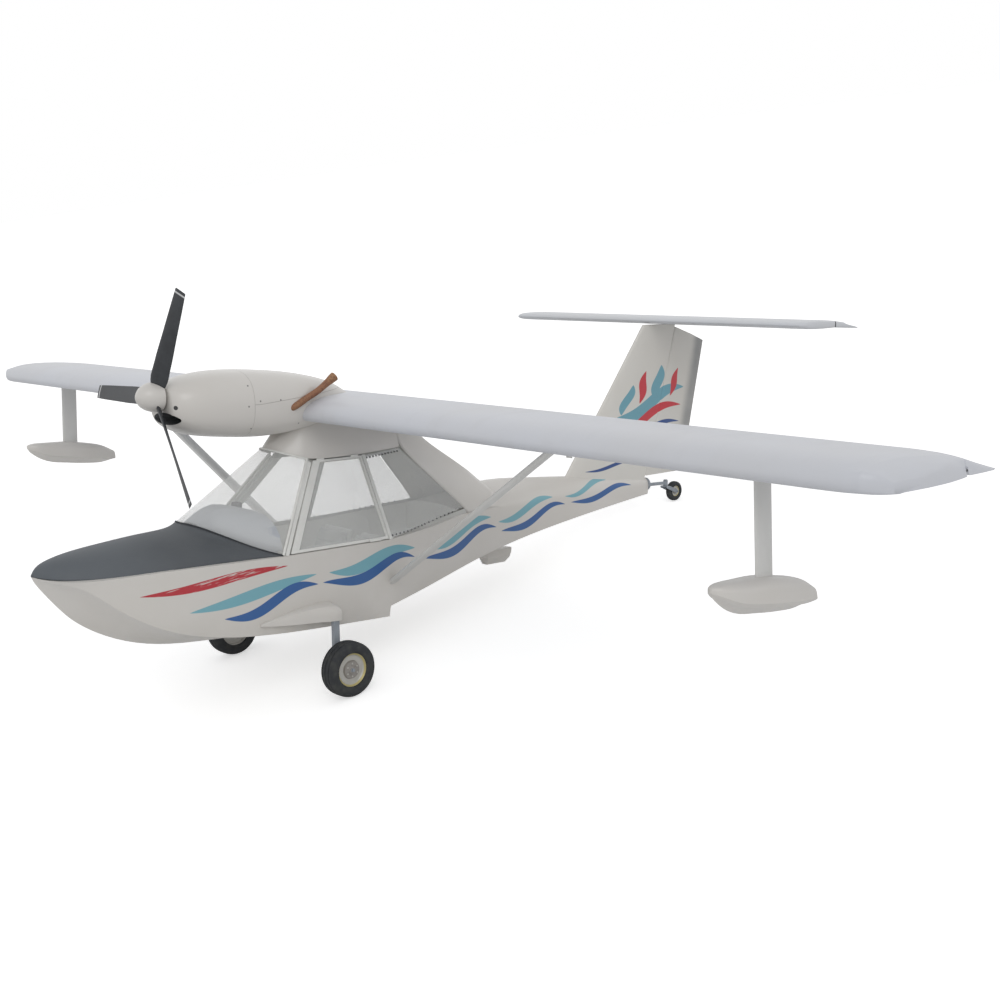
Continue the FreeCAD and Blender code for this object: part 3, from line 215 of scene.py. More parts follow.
SURROUND_LIGHT = 0.69
SUN_LIGHT = 0.46
SUN_FROM = Vector((0.66, -0.38, 0.65))
surround = bpy.data.worlds.new("surround")
surround.use_nodes = True
bpy.context.scene.world = surround
sky = surround.node_tree
ray = sky.nodes.new("ShaderNodeLightPath")
bright_rays = ray.outputs["Is Camera Ray"]
for kind in ("Is Transmission Ray", "Is Glossy Ray"):
    either = sky.nodes.new("ShaderNodeMath")
    either.operation = "MAXIMUM"
    sky.links.new(bright_rays, either.inputs[0])
    sky.links.new(ray.outputs[kind], either.inputs[1])
    bright_rays = either.outputs[0]
strength = sky.nodes.new("ShaderNodeMapRange")
strength.inputs["To Min"].default_value = SURROUND_LIGHT
strength.inputs["To Max"].default_value = 1.0
sky.links.new(bright_rays, strength.inputs["Value"])
sky.links.new(strength.outputs[0], sky.nodes["Background"].inputs["Strength"])
sky.nodes["Background"].inputs["Color"].default_value = (1.0, 1.0, 1.0, 1)

sun_data = bpy.data.lights.new("soft_sun", "SUN")
sun_data.energy = SUN_LIGHT
sun_data.angle = math.radians(35)
sun = bpy.data.objects.new("soft_sun", sun_data)
bpy.context.scene.collection.objects.link(sun)
sun.rotation_euler = SUN_FROM.to_track_quat("Z", "Y").to_euler()

# ---------------------------------------------------------------- hull
# The boat hull is two moulded halves of glass fibre joined along the sheer, with a hard chine, a shallow
# V bottom and one planing step. It is sprayed in white enamel, with wave stripes and a brush stroke.
HULL_LINES = [  # station y, keel z, then x and z of the chine, sheer, shoulder and top
    (-1.727, -0.014, (0.006, -0.004), (0.008, 0.002), (0.005, 0.003), (0.002, 0.004)),
    (-1.690, -0.075, (0.080, -0.024), (0.100, -0.012), (0.060, -0.012), (0.024, -0.012)),
    (-1.598, -0.195, (0.190, -0.045), (0.225, -0.022), (0.150, -0.022), (0.060, -0.022)),
    (-1.500, -0.312, (0.282, -0.068), (0.320, -0.022), (0.210, -0.022), (0.090, -0.022)),
    (-1.410, -0.400, (0.342, -0.130), (0.376, -0.020), (0.240, -0.020), (0.090, -0.020)),
    (-1.200, -0.536, (0.418, -0.312), (0.437, -0.012), (0.270, -0.012), (0.090, -0.012)),
    (-0.870, -0.662, (0.502, -0.488), (0.508, -0.002), (0.330, -0.002), (0.120, -0.002)),
    (-0.450, -0.712, (0.566, -0.572), (0.567, 0.000), (0.360, 0.000), (0.120, 0.000)),
    (0.000, -0.720, (0.600, -0.607), (0.600, 0.000), (0.360, 0.000), (0.120, 0.000)),
    (0.500, -0.729, (0.600, -0.624), (0.600, 0.000), (0.360, 0.000), (0.120, 0.000)),
    (0.998, -0.735, (0.600, -0.641), (0.600, 0.000), (0.360, 0.000), (0.120, 0.000)),
    (1.013, -0.650, (0.598, -0.556), (0.600, 0.001), (0.360, 0.001), (0.120, 0.001)),
    (1.460, -0.575, (0.550, -0.465), (0.553, 0.030), (0.360, 0.030), (0.120, 0.030)),
    (1.960, -0.480, (0.425, -0.380), (0.420, 0.078), (0.280, 0.100), (0.100, 0.100)),
    (2.440, -0.395, (0.312, -0.312), (0.309, 0.066), (0.216, 0.205), (0.060, 0.298)),
    (3.050, -0.310, (0.205, -0.245), (0.207, 0.050), (0.150, 0.150), (0.036, 0.240)),
    (3.700, -0.225, (0.112, -0.190), (0.125, 0.030), (0.102, 0.120), (0.027, 0.195)),
    (4.400, -0.145, (0.060, -0.125), (0.070, 0.010), (0.060, 0.060), (0.018, 0.108)),
    (4.745, -0.105, (0.040, -0.095), (0.050, -0.005), (0.042, 0.035), (0.012, 0.066)),
]
FLARE = 0.34
FLARE_REACH = 1.2
SIDE_SHARES = (0.35, 0.75)
LIP_SHARE = 0.94
LIP_END_Y = 2
KEEL_HARD, CHINE_HARD, SHEER_HARD = 0.8, 0.95, 0.9
SHEER_HARD_END = 14
COCKPIT_STATIONS = range(6, 14)
STEP_STATIONS = (10, 11)
SILL_INNER_X = 0.38
LIP_DEPTH = 0.03
FLOOR_LIFT = 0.07
WELL_TAPER = 0.98


def lofted(sections, closed=True, creases=(), hard_rings=()):
    """A cage through outlines with the same number of points, extruded from each to the next.

    creases are (point, first ring, last ring, how hard)."""
    cage = bmesh.new()
    hard = cage.edges.layers.float.new("crease_edge")

    def around(points):
        return list(zip(points, points[1:] + points[:1] if closed else points[1:]))

    ring = [cage.verts.new(p) for p in sections[0]]
    edges = [cage.edges.new(ends) for ends in around(ring)]
    rings = [ring]
    for outline in sections[1:]:
        grown = bmesh.ops.extrude_edge_only(cage, edges=edges)["geom"]
        fresh = {g for g in grown if isinstance(g, bmesh.types.BMVert)}
        edges = [g for g in grown if isinstance(g, bmesh.types.BMEdge)]
        ring = [next(e.other_vert(v) for e in v.link_edges if e.other_vert(v) in fresh) for v in ring]
        for vertex, point in zip(ring, outline):
            vertex.co = point
        rings.append(ring)
    if closed:
        cage.faces.new(rings[0][::-1])
        cage.faces.new(rings[-1])
    for point, first, last, how_hard in creases:
        for i in range(first, last):
            cage.edges.get((rings[i][point], rings[i + 1][point]))[hard] = how_hard
    for i in hard_rings:
        for ends in around(rings[i]):
            cage.edges.get(ends)[hard] = 1.0
    bmesh.ops.recalc_face_normals(cage, faces=cage.faces)
    return cage


def loose(cage, name="shape"):
    """The cage as an object that rides on nothing yet."""
    mesh = bpy.data.meshes.new(name)
    cage.to_mesh(mesh)
    cage.free()
    thing = bpy.data.objects.new(name, mesh)
    bpy.context.scene.collection.objects.link(thing)
    return thing


def evaluated(thing):
    """The mesh that an object's modifiers make, as a cage; the object goes."""
    done = bmesh.new()
    bpy.context.view_layer.update()
    graph = bpy.context.evaluated_depsgraph_get()
    mesh = bpy.data.meshes.new_from_object(thing.evaluated_get(graph))
    done.from_mesh(mesh)
    bpy.data.meshes.remove(mesh)
    bpy.data.objects.remove(thing)
    return done


def smoothed(cage, levels=2):
    """The cage rounded by subdivision, except along its creases."""
    thing = loose(cage)
    rounding = thing.modifiers.new("rounding", "SUBSURF")
    rounding.levels = levels
    rounding.render_levels = levels
    return evaluated(thing)


def shown(name, cage, body, materials, replaced=(), wall=0.0, bevel=0.0, sharp=35.0, place=parked):
    """Makes the cage a piece that rides on a body; place turns it from level to how it stands.

    A wall that grows inwards has the last material on its inner side."""
    thing = loose(cage, name)
    thing.data.transform(place)
    for material in materials if isinstance(materials, list) else [materials]:
        thing.data.materials.append(material)
    if wall:
        plate = thing.modifiers.new("wall", "SOLIDIFY")
        plate.thickness = wall
        plate.offset = -1
        plate.material_offset = len(thing.data.materials) - 1
    if bevel:
        edge = thing.modifiers.new("edge", "BEVEL")
        edge.width = bevel
        edge.segments = 3
        edge.limit_method = "ANGLE"
        edge.angle_limit = math.radians(30)
    thing.data.shade_smooth()
    thing.data.set_sharp_from_angle(angle=math.radians(sharp))
    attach(thing, body)
    if replaced:
        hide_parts(replaced)
    return thing


def starboard(points):
    """The starboard twins of port points, in the opposite order."""
    return [Vector((-p.x, p.y, p.z)) for p in reversed(points)]


def between(a, b, share):
    return tuple(p + (q - p) * share for p, q in zip(a, b))


sections = []
for y, keel_z, chine, sheer, shoulder, top in HULL_LINES:
    hollow = (chine[1] - keel_z) * FLARE * min(max(-y / FLARE_REACH, 0.0), 1.0)
    bilge = (chine[0] / 2, (keel_z + chine[1]) / 2 + hollow)
    lip = (sheer[0] * LIP_SHARE, sheer[1]) if y < LIP_END_Y else between(sheer, shoulder, 0.4)
    side = [between(chine, sheer, share) for share in SIDE_SHARES]
    half = [Vector((x, y, z)) for x, z in ((0.0, keel_z), bilge, chine, *side, sheer, lip, shoulder, top)]
    sections.append(half + starboard(half[1:]))
points_round = len(sections[0])
stern = len(sections) - 1
hard_lines = [(0, 0, stern, KEEL_HARD)]
for point, how_far, how_hard in ((2, stern, CHINE_HARD), (5, SHEER_HARD_END, SHEER_HARD)):
    hard_lines.append((point, 0, how_far, how_hard))
    hard_lines.append((points_round - point, 0, how_far, how_hard))
hull_cage = lofted(sections, creases=hard_lines, hard_rings=(*STEP_STATIONS, stern))
front_y = HULL_LINES[COCKPIT_STATIONS[0]][0]
rear_y = HULL_LINES[COCKPIT_STATIONS[-1]][0]
for face in hull_cage.faces:
    middle = face.calc_center_median()
    on_top = face.normal.z > 0.7 and middle.z > -0.1 and front_y < middle.y < rear_y
    outer_strip = min(abs(v.co.x) for v in face.verts) > SILL_INNER_X
    if on_top and not outer_strip:
        face.material_index = 1
hull_cage = smoothed(hull_cage)
opening = [face for face in hull_cage.faces if face.material_index == 1]
bmesh.ops.delete(hull_cage, geom=opening, context="FACES")
rim = [edge for edge in hull_cage.edges if edge.is_boundary]
for drop, squeeze in ((LIP_DEPTH, 1.0), (None, WELL_TAPER)):
    grown = bmesh.ops.extrude_edge_only(hull_cage, edges=rim)["geom"]
    rim = [g for g in grown if isinstance(g, bmesh.types.BMEdge)]
    for wall in grown:
        if isinstance(wall, bmesh.types.BMFace):
            wall.material_index = 1
    for vertex in (g for g in grown if isinstance(g, bmesh.types.BMVert)):
        station = min(HULL_LINES, key=lambda line: abs(line[0] - vertex.co.y))
        vertex.co.z = vertex.co.z - drop if drop else station[2][1] + FLOOR_LIFT
        vertex.co.x *= squeeze
for face in bmesh.ops.holes_fill(hull_cage, edges=rim, sides=0)["faces"]:
    face.material_index = 1
bmesh.ops.recalc_face_normals(hull_cage, faces=hull_cage.faces)

TEAL = tint("78AEBB")
BLUE = tint("32609C")
RED = tint("B8323C")
GRIME_AND_SHADE_TONE = tint("A9A59B")
WAVES = [  # colour, start y and z, end y and z, half its width, its sway, where the sway turns
    (TEAL, -0.775, -0.329, 0.288, -0.180, 0.046, 0.010, 1.0),
    (BLUE, -0.510, -0.412, 0.301, -0.261, 0.047, 0.044, 1.05),
    (TEAL, 0.407, -0.185, 1.288, -0.111, 0.054, 0.034, 1.0),
    (BLUE, 0.345, -0.257, 1.287, -0.187, 0.045, 0.052, 1.35),
    (TEAL, 1.445, -0.140, 2.340, -0.010, 0.046, 0.034, 1.0),
    (BLUE, 1.400, -0.220, 2.419, -0.112, 0.042, 0.048, 1.3),
    (TEAL, 2.449, -0.070, 3.260, 0.050, 0.038, 0.030, 1.0),
    (BLUE, 2.491, -0.160, 3.444, -0.040, 0.037, 0.042, 1.3),
    (TEAL, 3.442, 0.035, 4.115, 0.112, 0.026, 0.026, 1.0),
    (BLUE, 3.535, -0.035, 4.470, 0.026, 0.032, 0.032, 1.2),
]
BRUSH_STROKE = (-1.130, -0.165, 0.030, -0.078, 0.036, 0.012, 1.0)


def enamel(name, base="D7D4D0", shade="CFCBC4", gloss=0.34):
    """Sprayed two-pack paint: a faint orange peel, a little cloudy where it was polished."""
    finish = Finish(name)
    cloud = finish.noise(1.1, 4.0)
    speck = finish.noise(55.0, 2.0)
    finish.tone = finish.mixed(cloud.over(0.5, 0.5) * 0.55, tint(base), tint(shade))
    finish.wear(Base_Color=finish.tone, Roughness=gloss + (speck - 0.5) * 0.08, Coat_Weight=0.2,
                Coat_Roughness=0.14, Normal=finish.relief(speck + cloud, 0.0004))
    return finish


def stripe(along_line, across_line, start, start_out, end, end_out, half, sway, turn):
    """1 inside a stripe that is pointed at both ends and sways once on its way."""
    share = (along_line - start) * (1 / (end - start))
    inside = share.most(0.0).least(1.0)
    bend = (inside.power(turn) * (2 * math.pi)).sine() * sway
    middle = inside * (end_out - start_out) + start_out - bend
    reach = (inside * math.pi).sine().power(0.8) * half
    return (reach - (across_line - middle).size()).over(0.0, 0.004) * share.within(0.0, 1.0, 0.01)


hull_paint = enamel("hull_enamel")
across, aft, up = hull_paint.levelled()
# Darker towards the bottom of the hull and broken up by noise: partly grime, partly painted shade of the
# underside.
grime_and_painted_shade = up.under(-0.45, 0.4) * hull_paint.noise(2.6, 5.0).over(0.50, 0.4) * 0.28
livery = hull_paint.mixed(grime_and_painted_shade, hull_paint.tone, GRIME_AND_SHADE_TONE)
for colour, *shape in WAVES:
    livery = hull_paint.mixed(stripe(aft, up, *shape), livery, colour)
bristles = hull_paint.noise(9.0, 3.0, (1, 0.6, 7)).over(0.40, 0.16)
livery = hull_paint.mixed(stripe(aft, up, *BRUSH_STROKE) * bristles, livery, RED)
hull_paint.wear(Base_Color=livery)
liner = Finish("cabin_liner")
fleck = liner.noise(120.0, 2.0)
liner.wear(Base_Color=liner.mixed(liner.noise(3.0), tint("EFEFEA"), tint("E8E8E2")),
           Roughness=0.7 + fleck * 0.1, Normal=liner.relief(fleck, 0.0004))
shown("hull_shell", hull_cage, "airframe", [hull_paint.material, liner.material], "hull",
      sharp=22)

# ---------------------------------------------------------------- nose deck
# One thin crowned moulding of glass fibre, sprayed in a dull slate grey against glare, that laps over the
# sheer and runs back under the windscreen's foot.
DECK_LINES = [  # station y, edge x and z, crown z
    (-1.727, 0.010, 0.002, 0.014),
    (-1.690, 0.100, -0.012, 0.068),
    (-1.598, 0.225, -0.022, 0.106),
    (-1.410, 0.376, -0.020, 0.140),
    (-1.200, 0.437, -0.012, 0.160),
    (-0.870, 0.508, -0.002, 0.192),
    (-0.616, 0.540, 0.000, 0.197),
]
SCREEN_FOOT = [(0.000, -0.542, 0.242), (0.110, -0.520, 0.239), (0.215, -0.462, 0.214), (0.320, -0.352, 0.155),
               (0.420, -0.222, 0.086), (0.515, -0.100, 0.032), (0.590, -0.010, 0.003)]
DECK_PROUD = Vector((0, 0, 0.001))
DECK_WALL = 0.013
DECK_SPREAD, DECK_SWEEP = 0.90, 0.92


def whole_row(half):
    """A row across the aircraft from the half that starts in the middle."""
    port_side = [Vector(p) for p in half]
    return starboard(port_side[1:]) + port_side


def facing_up(cage):
    """An open sheet with its outer side on top."""
    if sum(face.normal.z for face in cage.faces) < 0:
        bmesh.ops.reverse_faces(cage, faces=cage.faces)
    return cage


rows = []
steps = len(SCREEN_FOOT) - 1
bow_y, scuttle_y = DECK_LINES[0][0], DECK_LINES[-1][0]
for y, edge_x, edge_z, crown_z in DECK_LINES:
    reach = (y - bow_y) / (scuttle_y - bow_y)
    row = []
    for i, (foot_x, foot_y, _) in enumerate(SCREEN_FOOT):
        share = i / steps
        x = edge_x * share + reach * (foot_x - SCREEN_FOOT[-1][0] * share) * DECK_SPREAD
        aft_by = reach * (foot_y - SCREEN_FOOT[0][1]) * DECK_SWEEP
        row.append((x, y + aft_by, crown_z + (edge_z - crown_z) * share * share))
    rows.append([p + DECK_PROUD for p in whole_row(row)])
rows.append([p + DECK_PROUD for p in whole_row(SCREEN_FOOT)])
scuttle = len(rows) - 1
edges_hard = [(0, 0, scuttle, 1.0), (2 * steps, 0, scuttle, 1.0)]
deck_cage = facing_up(smoothed(lofted(rows, closed=False, creases=edges_hard, hard_rings=(0, scuttle))))
slate = Finish("slate_antiglare")
grit = slate.noise(140.0, 2.0)
cloud = slate.noise(2.2, 5.0)
across, aft, up = slate.levelled()
slate_cool = slate.mixed(cloud.over(0.5, 0.5), tint("53595F"), tint("5C6166"))
slate_warm = slate.mixed(cloud.over(0.5, 0.5), tint("4C5156"), tint("565A5E"))
slate_tone = slate.mixed(aft.over(-0.95, 0.5), slate_cool, slate_warm)
slate.wear(Base_Color=slate_tone, Roughness=0.50 + cloud * 0.14, Normal=slate.relief(grit, 0.0005))
shown("nose_deck_moulding", deck_cage, "airframe", [slate.material, liner.material],
      "nose_deck", wall=DECK_WALL)

# ---------------------------------------------------------------- windscreen
# One sheet of clear polycarbonate bent round from door post to door post and bedded on a black seal. It
# is a little milky with age; the sheets of the doors and aft windows are milkier.
SCREEN_HEAD = [(0.000, 0.222, 0.747), (0.059, 0.232, 0.744), (0.119, 0.262, 0.732), (0.173, 0.308, 0.714),
               (0.216, 0.360, 0.697), (0.246, 0.410, 0.682), (0.262, 0.455, 0.670)]
GLASS_PROUD = Vector((0, 0.005, 0.003))
SHEET = 0.004
foot_row = [p + GLASS_PROUD for p in whole_row(SCREEN_FOOT)]
head_row = whole_row(SCREEN_HEAD)
middle_row = [a.lerp(b, 0.5) for a, b in zip(foot_row, head_row)]
screen_edges = [(0, 0, 2, 1.0), (2 * steps, 0, 2, 1.0)]
screen_cage = facing_up(smoothed(lofted([foot_row, middle_row, head_row], closed=False, creases=screen_edges,
                                        hard_rings=(0, 2))))


def polycarbonate(name, milkiness):
    """A clear sheet that hides that share of what is behind it, a little more where it is hazed."""
    sheet = Finish(name)
    haze = sheet.noise(3.0, 4.0)
    return sheet.wear(Base_Color=tint("FAFBFA"), Alpha=milkiness + haze * 0.04, Roughness=0.05 + haze * 0.05)


glass = polycarbonate("clear_polycarbonate", 0.19)
milky_glass = polycarbonate("milky_polycarbonate", 0.24)
shown("windscreen_sheet", screen_cage, "airframe", glass, "windscreen", wall=SHEET)

# ---------------------------------------------------------------- windscreen seal and strips
# A black rubber bead seals the screen's foot; painted alloy strips hold its head and both its sides.


def mottled(name, first, second, scale, gloss, vary=0.0, vary_scale=1.0, grain=(), metal=0.0):
    """A finish that wanders between two tones, and on a finer scale between two roughnesses.

    grain is the scale and depth of its relief."""
    finish = Finish(name)
    finish.wear(Base_Color=finish.mixed(finish.noise(scale), tint(first), tint(second)), Metallic=metal,
                Roughness=gloss + finish.noise(vary_scale) * vary if vary else gloss)
    return finish.wear(Normal=finish.relief(finish.noise(grain[0]), grain[1])) if grain else finish.material


def clouded(name, first, second, scale, gloss, vary, grain=()):
    """Sprayed paint with soft clouds, a little duller in them; grain is the scale and depth of its relief."""
    finish = Finish(name)
    cloud = finish.noise(scale)
    finish.wear(Base_Color=finish.mixed(cloud.over(0.5, 0.5), tint(first), tint(second)),
                Roughness=gloss + cloud * vary)
    return finish.wear(Normal=finish.relief(finish.noise(grain[0]), grain[1])) if grain else finish.material


seal = mottled("black_seal_and_gap_shade", "34363A", "3E4043", 30.0, 0.62, 0.1, 60.0, (220.0, 0.0003))
post_paint = clouded("light_grey_enamel", "E6E6E2", "DEDEDA", 6.0, 0.38, 0.08, (160.0, 0.0002))


def beading(name, points, radius, body, material, replaced=()):
    """A thin round strip along a smooth line through points."""
    line = bpy.data.curves.new(name, "CURVE")
    line.dimensions = "3D"
    line.bevel_depth = radius
    line.bevel_resolution = 2
    line.resolution_u = 6
    line.use_fill_caps = True
    spline = line.splines.new("NURBS")
    spline.points.add(len(points) - 1)
    for spot, point in zip(spline.points, points):
        spot.co = (*point, 1)
    spline.order_u = 3
    spline.use_endpoint_u = True
    thing = bpy.data.objects.new(name, line)
    bpy.context.scene.collection.objects.link(thing)
    return shown(name, evaluated(thing), body, material, replaced)


beading("screen_foot_seal", foot_row, 0.006, "airframe", seal)
head_strip = [p + Vector((0, 0, 0.002)) for p in head_row]
beading("screen_head_strip", head_strip, 0.008, "airframe", post_paint)
for side, end in (("left", -1), ("right", 0)):
    low, high = foot_row[end], head_row[end]
    beading(f"screen_post_strip_{side}", [low, low.lerp(high, 0.5), high], 0.011, "airframe",
            post_paint)

# ---------------------------------------------------------------- cabin posts, doors and side windows
# Welded steel posts stand before and behind each door. The doors are bent-up light alloy frames round a
# sheet of polycarbonate, hinged along the roof's edge so that they lift, with a pull handle on the sill.
HANDLE = (0.012, 0.110, 0.024)
HANDLE_AT = (0.605, 0.860, 0.016)
HANDLE_LEAN = -0.46


def cad_copy(node, melt):
    """A CAD node's own shape as a clean cage: doubles merged, flat faces whole again."""
    cage = bmesh.new()
    cage.from_mesh(frame["nodes"][node].data)
    bmesh.ops.remove_doubles(cage, verts=cage.verts, dist=0.00005)
    bmesh.ops.dissolve_limit(cage, angle_limit=math.radians(melt), verts=cage.verts, edges=cage.edges)
    return cage


def as_packed(name, node, body, material, bevel, melt=0.5):
    """A piece in a CAD node's own shape and place, with its edges rounded."""
    shown(name, cad_copy(node, melt), body, material, node, bevel=bevel, place=Matrix.Identity(4))


def mirror_of(cage):
    """The starboard twin of a port piece."""
    twin = cage.copy()
    bmesh.ops.scale(twin, vec=(-1, 1, 1), verts=twin.verts)
    bmesh.ops.recalc_face_normals(twin, faces=twin.faces)
    return twin


def block(size, centre, round_off=0.0):
    """A rounded block."""
    cage = bmesh.new()
    bmesh.ops.create_cube(cage, size=1.0)
    bmesh.ops.scale(cage, vec=size, verts=cage.verts)
    if round_off:
        bmesh.ops.bevel(cage, geom=cage.edges[:], offset=round_off, segments=4, profile=0.5, affect="EDGES",
                        material=-1)
    bmesh.ops.translate(cage, vec=centre, verts=cage.verts)
    return cage


as_packed("cabin_posts", "cabin_frame", "airframe", post_paint, 0.004)
for side in ("left", "right"):
    body = f"doorset_{side}"
    as_packed(f"door_frame_{side}", f"door_{side}", body, post_paint, 0.003)
    handle = block(HANDLE, (0, 0, 0), 0.005)
    bmesh.ops.rotate(handle, cent=(0, 0, 0), matrix=Matrix.Rotation(HANDLE_LEAN, 3, "Y"), verts=handle.verts)
    bmesh.ops.translate(handle, vec=HANDLE_AT, verts=handle.verts)
    if side == "right":
        handle = mirror_of(handle)
    shown(f"door_handle_{side}", handle, body, post_paint)
for node in ("door_glass_left", "door_glass_right", "aft_windows"):
    frame["nodes"][node].data.materials.clear()
    frame["nodes"][node].data.materials.append(milky_glass)

# ---------------------------------------------------------------- door jambs
# Soft grey flanges inside the cabin close the gaps round the doors: one behind the roof's edge and one
# behind the sill, on each side.
ROOF_JAMB = [(0.455, 0.236, 0.648), (0.985, 0.236, 0.648), (1.420, 0.166, 0.668)]
SILL_JAMB = [(-0.020, 0.548, 0.010), (1.000, 0.548, 0.010), (1.460, 0.505, 0.036), (2.020, 0.384, 0.094)]
JAMB_HALF = 0.024
JAMB_WALL = 0.004
JAMB_LEAN = Vector((-0.447, 0, 0.894))
jamb_grey = mottled("jamb_grey", "C9C9C5", "BFBFBB", 8.0, 0.6, 0.1, 50.0)


def joined(*cages):
    """One cage out of several."""
    whole = bmesh.new()
    for cage in cages:
        mesh = bpy.data.meshes.new("part")
        cage.to_mesh(mesh)
        cage.free()
        whole.from_mesh(mesh)
        bpy.data.meshes.remove(mesh)
    return whole


def pair(cage):
    """A port piece and its starboard twin."""
    return joined(mirror_of(cage), cage)


for name, line in (("roof_jambs", ROOF_JAMB), ("sill_jambs", SILL_JAMB)):
    rows = []
    for y, x, z in line:
        low, high = Vector((x, y, z)) - JAMB_LEAN * JAMB_HALF, Vector((x, y, z)) + JAMB_LEAN * JAMB_HALF
        rows.append([low, high, high - PORT * JAMB_WALL, low - PORT * JAMB_WALL])
    shown(name, pair(lofted(rows)), "airframe", jamb_grey)

# ---------------------------------------------------------------- cabin roof
# The roof is a white glass-fibre fairing that widens from the windscreen's head into the wing's root.
# The aft windows behind the doors are riveted along their upper and lower edges.
ROOF_LINES = [  # station y, lower edge x and z, waist x and z, upper edge x and z
    (0.226, (0.019, 0.737), (0.014, 0.746), (0.006, 0.753)),
    (0.262, (0.111, 0.722), (0.085, 0.756), (0.034, 0.791)),
    (0.340, (0.189, 0.705), (0.145, 0.775), (0.075, 0.849)),
    (0.420, (0.240, 0.684), (0.198, 0.790), (0.120, 0.905)),
    (0.505, (0.270, 0.661), (0.236, 0.800), (0.175, 0.968)),
    (0.985, (0.270, 0.661), (0.236, 0.812), (0.175, 0.968)),
    (1.430, (0.197, 0.681), (0.152, 0.812), (0.100, 0.968)),
]
PANE_RIVETS = [  # start, end, how many
    ((0.304, 1.030, 0.642), (0.236, 1.400, 0.660), 11),
    ((0.612, 1.050, 0.040), (0.562, 1.430, 0.064), 9),
    ((0.556, 1.470, 0.068), (0.452, 1.850, 0.116), 8),
]
RIVET, RIVET_RISE = 0.0090, 0.6


def studs(cage, rows, radius, rise):
    """Low round heads on a cage's surface along rows of (start, end, how many).

    rise is how far they stand out, as a share of the radius."""
    surface = BVHTree.FromBMesh(cage)
    heads = bmesh.new()
    for start, end, how_many in rows:
        for i in range(how_many):
            spot = Vector(start).lerp(Vector(end), i / max(how_many - 1, 1))
            place, normal = surface.find_nearest(spot)[:2]
            turn = normal.to_track_quat("Z", "Y").to_matrix().to_4x4()
            stand = Matrix.Translation(place) @ turn @ Matrix.Diagonal((1, 1, rise, 1))
            bmesh.ops.create_uvsphere(heads, u_segments=8, v_segments=5, radius=radius, matrix=stand)
    return heads


sections = []
for y, low, waist, high in ROOF_LINES:
    port_side = [Vector((x, y, z)) for x, z in (low, waist, high)]
    sections.append(port_side + starboard(port_side))
last = len(sections) - 1
roof_hard = [(point, 0, last, how_hard) for point, how_hard in ((0, 1.0), (5, 1.0), (2, 0.7), (3, 0.7))]
roof_cage = smoothed(lofted(sections, creases=roof_hard, hard_rings=(0, last)))
white_paint = enamel("white_enamel").material
rivet_paint = enamel("rivet_enamel", "7C7B79", "8C8A87").material
dark_rivet_paint = enamel("dark_rivets", "47484A", "525355").material
panes = cad_copy("aft_windows", 0.5)
bmesh.ops.transform(panes, matrix=level, verts=panes.verts)
pane_rivets = pair(studs(panes, PANE_RIVETS, RIVET, RIVET_RISE))
panes.free()
shown("roof_fairing", roof_cage, "airframe", white_paint, "cabin_roof", sharp=40)
shown("pane_rivets", pane_rivets, "airframe", dark_rivet_paint)

# ---------------------------------------------------------------- turtledeck
# Behind the aft windows the moulding sweeps down from the wing's trailing edge in a soft hollow to the
# aft hull, and narrows to a ridge on top.
TURTLE_LINES = [  # each from the hull's side up to the ridge
    [(0.408, 2.010, 0.080), (0.364, 2.008, 0.115), (0.279, 1.720, 0.397), (0.197, 1.432, 0.680),
     (0.150, 1.425, 0.780), (0.112, 1.420, 0.880), (0.095, 1.420, 0.968)],
    [(0.386, 2.140, 0.088), (0.345, 2.110, 0.140), (0.238, 1.880, 0.335), (0.158, 1.690, 0.540),
     (0.110, 1.640, 0.680), (0.062, 1.620, 0.820), (0.036, 1.620, 0.918)],
    [(0.362, 2.240, 0.082), (0.312, 2.210, 0.160), (0.196, 2.080, 0.290), (0.118, 1.950, 0.430),
     (0.070, 1.890, 0.540), (0.034, 1.865, 0.630), (0.012, 1.861, 0.704)],
    [(0.338, 2.340, 0.075), (0.288, 2.320, 0.165), (0.186, 2.270, 0.250), (0.112, 2.190, 0.330),
     (0.062, 2.160, 0.410), (0.028, 2.150, 0.470), (0.011, 2.156, 0.523)],
    [(0.309, 2.440, 0.066), (0.272, 2.440, 0.140), (0.212, 2.440, 0.210), (0.150, 2.440, 0.256),
     (0.088, 2.440, 0.286), (0.040, 2.425, 0.312), (0.011, 2.410, 0.348)],
    [(0.300, 2.510, 0.050), (0.262, 2.510, 0.108), (0.200, 2.510, 0.164), (0.140, 2.510, 0.200),
     (0.080, 2.510, 0.222), (0.036, 2.510, 0.232), (0.011, 2.510, 0.236)],
]
TURTLE_WALL = 0.010
rows = [whole_row(line[::-1]) for line in TURTLE_LINES]
last = len(rows) - 1
turtle_hard = [(point, 0, last, 1.0) for point in (0, len(rows[0]) - 1)]
turtle_cage = facing_up(smoothed(lofted(rows, closed=False, creases=turtle_hard, hard_rings=(0, last))))
shown("turtledeck_moulding", turtle_cage, "airframe", [white_paint, liner.material],
      "turtledeck", wall=TURTLE_WALL, sharp=50)

